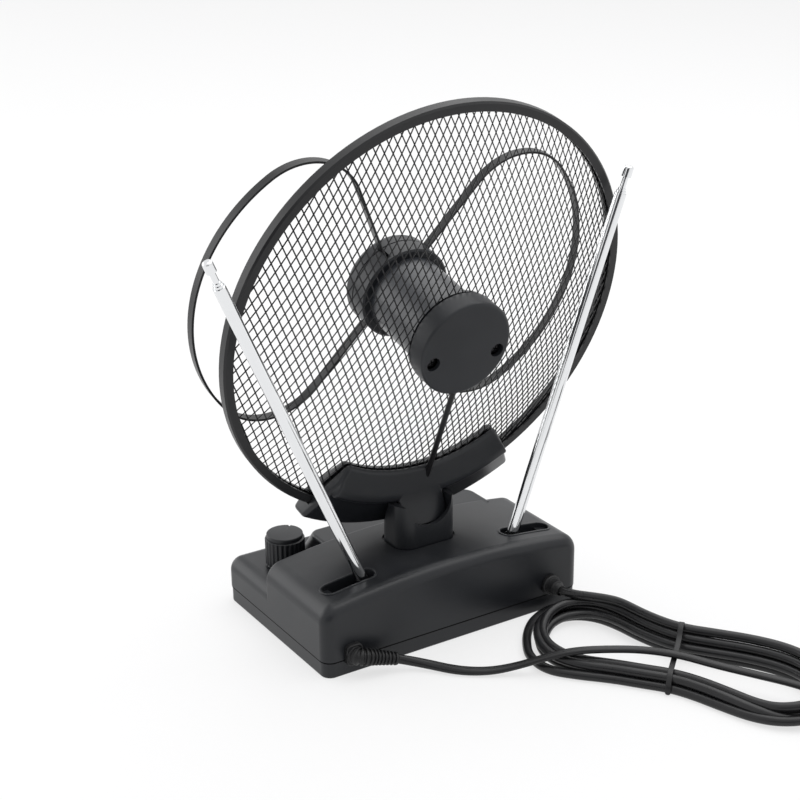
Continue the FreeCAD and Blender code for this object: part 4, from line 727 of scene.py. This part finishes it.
def ribbed_boot(ribs):
    """Strain relief: a rounded flange on the wall and a ribbed sleeve that follows the flex."""
    spine = route("boot_spine", BOOT_ROUTE)
    line = [Vector(point) for point in middle_line(spine)]
    length = sum((after - before).length for before, after in zip(line, line[1:])) / MM
    bore = 2.2
    collar = 3.4
    thick = 5.1
    groove = 1.1
    pitch = (length - collar) / ribs
    profile = [(bore, 0), (thick + 0.1, 0), (thick, collar - pitch * 0.45)]
    for rib in range(ribs):
        foot = collar + rib * pitch
        crest = thick - 1.5 * rib / ribs
        profile += [(crest - groove, foot - pitch * 0.36), (crest - groove, foot)]
        profile += [(crest, foot + pitch * 0.1), (crest - 0.05, foot + pitch * 0.5)]
    profile += [(bore + groove, length - 0.1), (bore, length)]
    sleeve = lathe("boot_sleeve", profile, 28)
    settled(sleeve, Matrix.Rotation(math.radians(90), 4, "Y"))
    rounded(sleeve, 0.18, 2, 40)
    applied(sleeve, "CURVE", object=spine, deform_axis="POS_X")
    bpy.data.objects.remove(spine)
    flange = block("boot_flange", BOOT_FLANGE, BOOT_WALL)
    pick(flange, edges=lambda a, b: abs(a.y - b.y) > MM)
    bpy.ops.mesh.bevel(offset=3 * MM, segments=5)
    bpy.ops.object.mode_set(mode="OBJECT")
    pick(flange, faces=lambda face: face.normal.y > 0.9)
    bpy.ops.mesh.inset(thickness=0.5 * MM)
    bpy.ops.transform.translate(value=(0, 0.4 * MM, 0))
    bpy.ops.object.mode_set(mode="OBJECT")
    boot = joined("mains_boot_ribbed", [flange, sleeve])
    return kept(boot, "boot rubber", "base", "flex", "mains_boot")


def pin_pair(name, profile, place):
    """Turns one pin, or one sleeve, copies it and sets both in the plug's front."""
    pin = lathe(name, profile, 24)
    pair = [pin, copied(pin, "second_pin")]
    forward = Matrix.Rotation(math.radians(90), 4, "X")
    for item, side in zip(pair, (-PIN_OFFSET, PIN_OFFSET)):
        settled(item, place @ Matrix.Translation((side * MM, PLUG_FRONT * MM, 0)) @ forward)
    return joined(name, pair)


def mains_plug():
    """Flat two-pin plug with a waisted grip and part-sleeved pins, drawn along -Y from its rear."""
    place = Matrix.Translation(Vector(PLUG_REAR) * MM) @ Matrix.Rotation(PLUG_TURN, 4, "Z")
    depth = 16
    grip = block("plug_grip", (35, depth, 13.2), (0, PLUG_FRONT + depth / 2, 0))
    for step, across, high in ((7, 0.86, 0.96), (8, 0.62, 0.92), (4.8, 0.8, 0.84)):
        pick(grip, faces=lambda face: face.normal.y > 0.9)
        bpy.ops.mesh.extrude_region_move(TRANSFORM_OT_translate={"value": (0, step * MM, 0)})
        bpy.ops.transform.resize(value=(across, 1, high))
        bpy.ops.object.mode_set(mode="OBJECT")
    rounded(grip, 2, 4, 50)
    relief = lathe("plug_relief", [
        (2.1, -1), (4.6, -1), (4.4, 1.5), (3.6, 2.5), (3.6, 3.4), (4.1, 4), (3.2, 5), (3.2, 6), (2.1, 6),
    ], 24)
    settled(relief, Matrix.Rotation(math.radians(-90), 4, "X"))
    body = settled(joined("mains_plug_body", [grip, relief]), place)
    kept(body, "boot rubber", "base", "plug_plastic", "mains_plug")
    sleeves = pin_pair("plug_pin_sleeves", [(0, -1), (1.9, -1), (1.9, 9.6), (1.75, 10)], place)
    kept(sleeves, "boot rubber", "base", "plug_plastic")
    pins = pin_pair("plug_pins", [(1.75, 9.9), (2, 10.1), (2, 18), (1.6, 18.8), (0.7, 19), (0, 19)], place)
    kept(pins, "pin nickel", "base", "steel")
    return [body, sleeves, pins]


def inside_outline(step, inset):
    """Point in the hank at a step round it and a distance in from its outline."""
    at = step % len(HANK_OUTLINE)
    return Vector(HANK_OUTLINE[at]).lerp(Vector(HANK_INNER[at]), inset / HANK_DEPTH)


def hank_points():
    points = []
    for (step, inset, height), (last, last_inset, last_height) in zip(HANK_KEYS, HANK_KEYS[1:]):
        for at in range(math.ceil(step), math.ceil(last)):
            share = (at - step) / (last - step)
            share = share * share * (3 - 2 * share)
            spot = inside_outline(at, inset + (last_inset - inset) * share)
            points.append((spot.x, spot.y, height + (last_height - height) * share))
    return points


class ANTENNA_OT_coaxial_lead(bpy.types.Operator):
    """Folds the coaxial lead into its tied hank and ends it in a plug"""
    bl_idname = "antenna.coaxial_lead"
    bl_label = "Coaxial lead"

    def execute(self, context):
        leads = context.scene.antenna_leads
        lead = route("coax_lead", [*COAX_ROUTE, *hank_points(), *COAX_END])
        lead.data.bevel_depth = leads.coax_diameter / 2
        lead.data.bevel_resolution = 5
        kept(lead, "lead jacket", "base", "flex", "coax_cord", "coax_hank", "coax_tail")
        gland = lathe("coax_gland_bush", [
            (2.5, 0), (5.9, 0), (5.9, 2.2), (5.4, 2.8), (4.5, 3), (4.5, 7.2), (4.1, 7.7), (3.6, 7.8),
            (3.3, 11), (2.5, 11.2),
        ], 32)
        rearward = Matrix.Rotation(math.radians(-90), 4, "X")
        settled(gland, Matrix.Translation(Vector(GLAND_WALL) * MM) @ rearward)
        rounded(gland, 0.25, 2, 40)
        kept(gland, "boot rubber", "base", "flex", "coax_gland")
        plug = coax_plug()
        tie = hank_tie()
        return {"FINISHED"}


def coax_plug():
    """Push-on coaxial plug: ribbed grip, plated sleeve and centre pin."""
    profile = [(2.4, -1), (3.5, -1), (3.7, 1), (4.4, 7.6), (5.7, 8.2), (5.9, 9)]
    for rib in range(9):
        foot = 11 + 2.1 * rib
        profile += [(5.9, foot), (5.35, foot + 0.4), (5.35, foot + 0.9), (5.9, foot + 1.3)]
    profile += [(5.9, 31.6), (5.2, 33), (0, 33)]
    grip = lathe("coax_plug_grip", profile, 32)
    sleeve = lathe("coax_plug_sleeve", [
        (4.75, 32.9), (4.75, 35), (4.6, 35.3), (4.6, 36), (4.75, 36.3), (4.75, 41.6), (4.5, 42), (4, 41.8),
        (4, 33.2), (1.15, 33.2), (1.15, 41.2), (0.6, 41.9), (0, 42),
    ], 32)
    turn = Vector(COAX_PLUG_WAY).to_track_quat("Z", "Y").to_matrix().to_4x4()
    place = Matrix.Translation(Vector(COAX_PLUG_REAR) * MM) @ turn
    for part in (grip, sleeve):
        settled(part, place)
    kept(grip, "boot rubber", "base", "plug_plastic", "coax_plug")
    kept(sleeve, "pin nickel", "base", "steel")
    return [grip, sleeve]


def hank_tie():
    """Flat band over both bundles of the hank, dipping between them."""
    way = Vector((*TIE_WAY, 0))
    side = Vector((-way.y, way.x, 0)) * TIE_WIDTH / 2 * MM
    middle = Vector((*TIE_MIDDLE, 0)) * MM
    spots = [middle + way * across * MM + Vector((0, 0, height * MM)) for across, height in TIE_MARKS]
    tie = chain("hank_tie_band", [spot - side for spot in spots])
    bpy.ops.mesh.extrude_edges_move(TRANSFORM_OT_translate={"value": 2 * side})
    faced_out()
    applied(tie, "SUBSURF", levels=2, render_levels=2)
    applied(tie, "SOLIDIFY", thickness=1 * MM, offset=0)
    rounded(tie, 0.25, 2, 50)
    return kept(tie, "tie film", "base", "tie", "hank_tie")


class ANTENNA_OT_reflector(bpy.types.Operator):
    """Weaves the reflector's diamond mesh on its bowl"""
    bl_idname = "antenna.reflector"
    bl_label = "Reflector mesh"

    def execute(self, context):
        sizes = context.scene.antenna_mesh
        bowl = (sizes.reach ** 2 + sizes.depth ** 2) / (2 * sizes.depth)
        alone()
        bpy.ops.mesh.primitive_uv_sphere_add(
            segments=192, ring_count=96, radius=bowl, location=(0, 0, bowl - sizes.depth))
        form = named("bowl_form")
        alone()
        bpy.ops.mesh.primitive_grid_add(x_subdivisions=66, y_subdivisions=66, size=1)
        mesh = named("reflector_mesh")
        cells = round(math.sqrt(len(mesh.data.vertices))) - 1
        bpy.ops.object.mode_set(mode="EDIT")
        bpy.ops.transform.rotate(value=math.radians(45), orient_axis="Z", center_override=(0, 0, 0))
        across = cells * sizes.diamond_width / math.sqrt(2)
        upward = cells * sizes.diamond_height / math.sqrt(2)
        bpy.ops.transform.resize(value=(across, upward, 1), center_override=(0, 0, 0))
        bpy.ops.transform.translate(value=(0, 0, -2 * sizes.depth))
        bpy.ops.object.mode_set(mode="OBJECT")
        far = sizes.radius + 1.2 * sizes.diamond_height
        pick(mesh, points=lambda place: Vector((place.x, place.y)).length > far)
        bpy.ops.mesh.delete(type="VERT")
        bpy.ops.object.mode_set(mode="OBJECT")
        applied(
            mesh, "SHRINKWRAP", target=form, wrap_method="PROJECT", use_project_z=True,
            use_positive_direction=True, use_negative_direction=False,
        )
        applied(
            mesh, "WIREFRAME", thickness=sizes.strand, offset=0, use_even_offset=True, use_replace=True,
            use_boundary=True,
        )
        bpy.data.objects.remove(form)
        for operation, radius in (("INTERSECT", sizes.radius), ("DIFFERENCE", sizes.hole)):
            alone()
            bpy.ops.mesh.primitive_cylinder_add(vertices=160, radius=radius, depth=6 * sizes.depth)
            tool = named("mesh_cutter")
            applied(mesh, "BOOLEAN", operation=operation, solver="EXACT", object=tool)
            bpy.data.objects.remove(tool)
        settled(mesh, DISH @ Matrix.Rotation(sizes.turn, 4, "Z"))
        kept(mesh, "wire paint", "dish", "black_paint", "mesh_reflector", angle=30)
        return {"FINISHED"}


def arc(name, section, spread, round_off):
    """Spins a closed section of Y and Z about the dish's axis, evenly to both sides, and rounds its edges."""
    start = Matrix.Rotation(spread / 2, 4, "Z")
    piece = chain(name, [start @ Vector((0, y, z)) * MM for y, z in (*section, section[0])])
    bpy.ops.mesh.remove_doubles(threshold=0.001 * MM)
    bpy.ops.mesh.spin(steps=40, angle=spread, center=(0, 0, 0), axis=(0, 0, 1))
    bpy.ops.mesh.select_all(action="SELECT")
    bpy.ops.mesh.remove_doubles(threshold=0.001 * MM)
    bpy.ops.mesh.fill_holes(sides=0)
    faced_out()
    return rounded(piece, round_off, 5, 40)


def neck_tongue():
    """Tongue of the cradle, rounded about the barrel that turns between the neck's cheeks."""
    outline = [(-103.5, -14.5)]
    for step in range(13):
        angle = math.radians(-90 - 8.1 * step)
        y = BARREL[0] + BARREL_RADIUS * math.cos(angle)
        z = BARREL[1] + BARREL_RADIUS * math.sin(angle)
        outline.append((y, z))
    outline += [(-130.5, -3.6), (-104, -8)]
    tongue = chain("tongue", [Vector((-TONGUE_WIDTH / 2, y, z)) * MM for y, z in outline])
    bpy.ops.mesh.edge_face_add()
    bpy.ops.mesh.extrude_region_move(TRANSFORM_OT_translate={"value": (TONGUE_WIDTH * MM, 0, 0)})
    faced_out()
    return rounded(tongue, 1.2, 3, 40)


class ANTENNA_OT_cradle(bpy.types.Operator):
    """Moulds the rounded cradle that grips the rim, with the tongue that turns in the neck"""
    bl_idname = "antenna.cradle"
    bl_label = "Cradle"

    def execute(self, context):
        cradle = arc("cradle_moulded", CRADLE_SECTION, CRADLE_SPREAD, 3.4)
        carved(cradle, arc("cradle_ridge", RIDGE_SECTION, RIDGE_SPREAD, 1), "UNION")
        carved(cradle, lathe("rim_groove", RIM_GROOVE, 180))
        carved(cradle, neck_tongue(), "UNION")
        through = TONGUE_WIDTH
        bore = lathe("pin_bore", [(0, -through), (2.6, -through), (2.6, through), (0, through)], 32)
        barrel = Matrix.Translation(Vector((0, *BARREL)) * MM)
        settled(bore, barrel @ Matrix.Rotation(math.radians(90), 4, "Y"))
        carved(cradle, bore)
        settled(cradle, DISH)
        kept(cradle, "case plastic", "dish", "black_plastic", "cradle")
        return {"FINISHED"}


def cap_spot(side, height):
    """Place of a cap screw on one side of the dish's axis, at a height in the dish's frame."""
    return Vector((side * CAP_SCREW[0], CAP_SCREW[1], height)) * MM


class ANTENNA_OT_hub_cap(bpy.types.Operator):
    """Turns the hub cap with its rounded edge and sinks the two screw pockets"""
    bl_idname = "antenna.hub_cap"
    bl_label = "Hub cap"

    def execute(self, context):
        edge = []
        for step in range(9):
            turn = math.radians(90 * step / 8)
            radius = CAP_RADIUS - CAP_ROUND + CAP_ROUND * math.sin(turn)
            edge.append((radius, CAP_FACE + CAP_ROUND - CAP_ROUND * math.cos(turn)))
        cap = lathe("hub_cap_turned", [
            (0, CAP_FACE), (25.2, CAP_FACE), *edge, (CAP_RADIUS, -25.2), (24.9, -25.2), (24.9, -34.4),
            (0, -34.4),
        ], 120)
        for word, side in SIDES:
            alone()
            bpy.ops.mesh.primitive_cylinder_add(
                vertices=40, radius=3.9 * MM, depth=8 * MM, location=cap_spot(side, CAP_FACE))
            carved(cap, named(f"screw_pocket_{word}"))
        rounded(cap, 0.3, 2, 50)
        settled(cap, DISH)
        kept(cap, "hub plastic", "dish", "black_plastic", "hub_cap", angle=20)
        return {"FINISHED"}


class ANTENNA_OT_knob(bpy.types.Operator):
    """Turns the gain knob, cuts its flutes under a plain top disc and nicks its pointer"""
    bl_idname = "antenna.knob"
    bl_label = "Gain knob"

    def execute(self, context):
        low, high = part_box("gain_knob")
        tall = (high[2] - low[2]) / MM
        knob = lathe("gain_knob_fluted", [
            (3, 13), (3, 0), (11, 0), (11.5, 0.5), (11.5, 0.9), (11.5, tall - 3.4), (11.3, tall - 2.9),
            (10.7, tall - 2.6), (10.1, tall - 2.5), (10.1, tall - 2.2), (10.5, tall - 2), (10.5, tall - 0.35),
            (10.2, tall), (0, tall),
        ], 4 * KNOB_FLUTES)
        pitch = math.pi / 2 / KNOB_FLUTES
        pick(knob, points=lambda place: (
            0.8 * MM < place.z < (tall - 3.2) * MM and place.xy.length > 11 * MM
            and round(math.atan2(place.y, place.x) / pitch) % 4 < 2))
        bpy.ops.transform.resize(value=(0.945, 0.945, 1), center_override=(0, 0, 0))
        bpy.ops.object.mode_set(mode="OBJECT")
        nick = block("pointer_nick", (1.2, 5, 1.6), (0, -10, tall))
        settled(nick, Matrix.Rotation(math.radians(-45), 4, "Z"))
        carved(knob, nick)
        rounded(knob, 0.2, 2, 35)
        settled(knob, Matrix.Translation(((low[0] + high[0]) / 2, (low[1] + high[1]) / 2, low[2])))
        kept(knob, "knob plastic", "knob", "black_plastic", "gain_knob")
        return {"FINISHED"}


class ANTENNA_OT_slot_trims(bpy.types.Operator):
    """Lays a thin raised lip round each rod slot"""
    bl_idname = "antenna.slot_trims"
    bl_label = "Slot trims"

    def execute(self, context):
        alone()
        bpy.ops.mesh.primitive_circle_add(vertices=40, radius=4.95 * MM)
        lip = named("slot_lip")
        bpy.ops.object.mode_set(mode="EDIT")
        bpy.ops.mesh.select_all(action="SELECT")
        bpy.ops.mesh.extrude_edges_move()
        bpy.ops.transform.resize(value=(1.26, 1.26, 1))
        bpy.ops.object.mode_set(mode="OBJECT")
        for way in (1, -1):
            pick(lip, points=lambda place: place.x * way > -0.01 * MM)
            bpy.ops.transform.translate(value=(way * 11.25 * MM, 0, 0))
            bpy.ops.object.mode_set(mode="OBJECT")
        pick(lip, edges=lambda a, b: (a - b).length > 8 * MM)
        bpy.ops.mesh.subdivide(number_cuts=7)
        bpy.ops.object.mode_set(mode="OBJECT")
        for word, side in SIDES:
            trim = copied(lip, f"slot_trim_{word}")
            settled(trim, Matrix.Translation(Vector((side * ROD_SLOT[0], ROD_SLOT[1], 60)) * MM))
            applied(
                trim, "SHRINKWRAP", target=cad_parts["base_cover"], wrap_method="PROJECT",
                use_project_z=True, use_positive_direction=False, use_negative_direction=True,
            )
            applied(trim, "SOLIDIFY", thickness=0.9 * MM, offset=0)
            rounded(trim, 0.3, 3, 40)
            kept(trim, "case plastic", "base", "black_plastic")
        bpy.data.objects.remove(lip)
        return {"FINISHED"}


class ANTENNA_OT_parting_line(bpy.types.Operator):
    """Runs a thin near-black band round the case where the cover meets the tray: painted shadow that stands
    for the shade under the cover's overhang
    """
    bl_idname = "antenna.parting_line"
    bl_label = "Parting line"

    def execute(self, context):
        low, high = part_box("base_tray")
        tall = 0.9 * MM
        size = Vector((high[0] - low[0], high[1] - low[1], tall)) / MM
        # The band is painted shadow: a dark strip standing for the shade under the cover's 0.5 mm overhang,
        # not a real gasket.
        line = block("parting_gasket", size, (0, 0, (high[2] - tall / 2) / MM))
        pick(line, faces=lambda face: abs(face.normal.z) > 0.9)
        bpy.ops.mesh.delete(type="ONLY_FACE")
        bpy.ops.object.mode_set(mode="OBJECT")
        pick(line, edges=lambda a, b: abs(a.z - b.z) > 0.5 * tall)
        bpy.ops.mesh.bevel(offset=6 * MM, segments=10)
        bpy.ops.object.mode_set(mode="OBJECT")
        applied(line, "SOLIDIFY", thickness=0.4 * MM, offset=0.6)
        rounded(line, 0.08, 2, 60)
        kept(line, "parting shade", "base", "black_plastic")
        return {"FINISHED"}


class ANTENNA_OT_cap_screws(bpy.types.Operator):
    """Puts cross-head screws in the hub cap's pockets"""
    bl_idname = "antenna.cap_screws"
    bl_label = "Cap screws"

    def execute(self, context):
        model = lathe("cross_screw", [
            (0, 0.8), (1.4, 0.8), (1.4, 0), (3, 0), (3, 0.7), (2.6, 1.5), (1.6, 1.95), (0, 2.1),
        ], 36)
        for degrees in (0, 90):
            slot = block("cross_slot", (3.4, 0.75, 2.2), (0, 0, 2.1))
            carved(model, settled(slot, Matrix.Rotation(math.radians(degrees), 4, "Z")))
        for word, side in SIDES:
            screw = copied(model, f"cap_cross_screw_{word}")
            half_turn = Matrix.Rotation(math.pi, 4, "X") @ Matrix.Rotation(math.radians(20 * side), 4, "Z")
            settled(screw, DISH @ Matrix.Translation(cap_spot(side, CAP_FACE + 4)) @ half_turn)
            kept(screw, "black screw", "dish", "steel", f"cap_screw_{word}")
        bpy.data.objects.remove(model)
        return {"FINISHED"}


class ANTENNA_OT_dress_solids(bpy.types.Operator):
    """Gives every solid that still shows its finish"""
    bl_idname = "antenna.dress_solids"
    bl_label = "Dress solids"

    def execute(self, context):
        dressed = {name: finish for finish, names in DRESS.items() for name in names}
        for name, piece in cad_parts.items():
            if name.startswith("foot_"):
                finish = "foot rubber"
            elif name.startswith(("rod_knuckle", "rod_pin")):
                finish = "dark steel"
            elif name.startswith("rod_") and name not in dressed:
                finish = "rod chrome left" if name.endswith("left") else "rod chrome right"
            else:
                finish = dressed.get(name, "screw steel")
            piece.data.materials.clear()
            piece.data.materials.append(bpy.data.materials[finish])
        return {"FINISHED"}


def soft_box(name, place, width, height, power):
    """Rectangular soft light that looks at the antenna."""
    light = bpy.data.lights.new(name, "AREA")
    light.shape = "RECTANGLE"
    light.size = width
    light.size_y = height
    light.energy = power
    lamp = bpy.data.objects.new(name, light)
    lamp.location = place
    lamp.rotation_euler = (Vector((0, 0, 0.12)) - Vector(place)).to_track_quat("-Z", "Y").to_euler()
    lamp.visible_camera = False
    bpy.context.collection.objects.link(lamp)


def dark_room():
    """Dark screen on the camera's side that only shows in reflections."""
    alone()
    bpy.ops.mesh.primitive_plane_add(size=1)
    screen = named("room_screen")
    settled(screen, Matrix.Translation((1.5, 1.95, 0.45)) @ Matrix.Rotation(math.radians(-38), 4, "Z")
            @ Matrix.Rotation(math.radians(90), 4, "X") @ Matrix.Diagonal((2.6, 0.9, 1, 1)))
    shader = new_finish("room screen")[1]
    shader.inputs["Base Color"].default_value = (0.05, 0.05, 0.055, 1)
    shader.inputs["Roughness"].default_value = 0.9
    screen.data.materials.append(bpy.data.materials["room screen"])
    screen.visible_camera = False
    screen.visible_diffuse = False
    screen.visible_shadow = False
    return screen


class ANTENNA_OT_studio(bpy.types.Operator):
    """Lays the pale floor and sets the soft studio light"""
    bl_idname = "antenna.studio"
    bl_label = "Studio"

    def execute(self, context):
        studio = context.scene.antenna_studio
        alone()
        bpy.ops.mesh.primitive_plane_add(size=30)
        floor = named("studio_floor")
        tree, shader = new_finish("studio floor")
        shader.inputs["Base Color"].default_value = (*studio.floor, 1)
        shader.inputs["Roughness"].default_value = 0.75
        shader.inputs["Specular IOR Level"].default_value = 0.2
        glow = tree.nodes.new("ShaderNodeEmission")
        blend = tree.nodes.new("ShaderNodeMixShader")
        path = tree.nodes.new("ShaderNodeLightPath")
        seen = maths(tree, "MAXIMUM", path.outputs["Is Camera Ray"], path.outputs["Is Glossy Ray"])
        seen = maths(tree, "MAXIMUM", seen, path.outputs["Is Transmission Ray"])
        tree.links.new(maths(tree, "MULTIPLY", seen, studio.lift), blend.inputs["Fac"])
        tree.links.new(shader.outputs["BSDF"], blend.inputs[1])
        tree.links.new(glow.outputs["Emission"], blend.inputs[2])
        tree.links.new(blend.outputs["Shader"], tree.nodes["Material Output"].inputs["Surface"])
        floor.data.materials.append(bpy.data.materials["studio floor"])
        dark_room()
        world = context.scene.world or bpy.data.worlds.new("studio")
        context.scene.world = world
        world.use_nodes = True
        tree = world.node_tree
        backdrop = tree.nodes["Background"]
        path = tree.nodes.new("ShaderNodeLightPath")
        seen = maths(tree, "MAXIMUM", path.outputs["Is Camera Ray"], path.outputs["Is Transmission Ray"])
        seen = maths(tree, "MAXIMUM", seen, path.outputs["Is Glossy Ray"])
        tree.links.new(ramp(tree, seen, 0, 1, studio.ambient, 1), backdrop.inputs["Strength"])
        backdrop.inputs["Color"].default_value = (*studio.backdrop, 1)
        soft_box("overhead", (-0.5, -0.1, 1.75), 2.2, 2.2, studio.overhead)
        soft_box("side", (1.6, -2.3, 0.95), 3.4, 1.8, studio.side)
        context.scene.view_settings.view_transform = "Standard"
        return {"FINISHED"}


STEPS = (
    ANTENNA_OT_finishes, ANTENNA_OT_camera, ANTENNA_OT_mains_lead, ANTENNA_OT_coaxial_lead,
    ANTENNA_OT_reflector, ANTENNA_OT_cradle, ANTENNA_OT_hub_cap, ANTENNA_OT_knob, ANTENNA_OT_slot_trims,
    ANTENNA_OT_parting_line, ANTENNA_OT_cap_screws, ANTENNA_OT_dress_solids, ANTENNA_OT_studio,
)
GROUPS = (
    ("antenna_view", AntennaView), ("antenna_mesh", AntennaMesh), ("antenna_leads", AntennaLeads),
    ("antenna_finish", AntennaFinish), ("antenna_studio", AntennaStudio),
)


class ANTENNA_PT_sidebar(bpy.types.Panel):
    """Lists the antenna's steps"""
    bl_idname = "ANTENNA_PT_sidebar"
    bl_label = "Antenna"
    bl_space_type = "VIEW_3D"
    bl_region_type = "UI"
    bl_category = "Antenna"

    def draw(self, context):
        for step in STEPS:
            self.layout.operator(step.bl_idname)
        for name, group in GROUPS:
            box = self.layout.box()
            for key in group.__annotations__:
                box.prop(getattr(context.scene, name), key)


def register():
    for name, group in GROUPS:
        bpy.utils.register_class(group)
        setattr(bpy.types.Scene, name, bpy.props.PointerProperty(type=group))
    for item in (*STEPS, ANTENNA_PT_sidebar):
        bpy.utils.register_class(item)


def unregister():
    for item in (ANTENNA_PT_sidebar, *reversed(STEPS)):
        bpy.utils.unregister_class(item)
    for name, group in GROUPS:
        delattr(bpy.types.Scene, name)
        bpy.utils.unregister_class(group)


def main():
    register()
    bpy.ops.antenna.finishes()
    bpy.ops.antenna.camera()
    bpy.ops.antenna.mains_lead()
    bpy.ops.antenna.coaxial_lead()
    bpy.ops.antenna.reflector()
    bpy.ops.antenna.cradle()
    bpy.ops.antenna.hub_cap()
    bpy.ops.antenna.knob()
    bpy.ops.antenna.slot_trims()
    bpy.ops.antenna.parting_line()
    bpy.ops.antenna.cap_screws()
    bpy.ops.antenna.dress_solids()
    bpy.ops.antenna.studio()


if __name__ == "__main__":
    main()
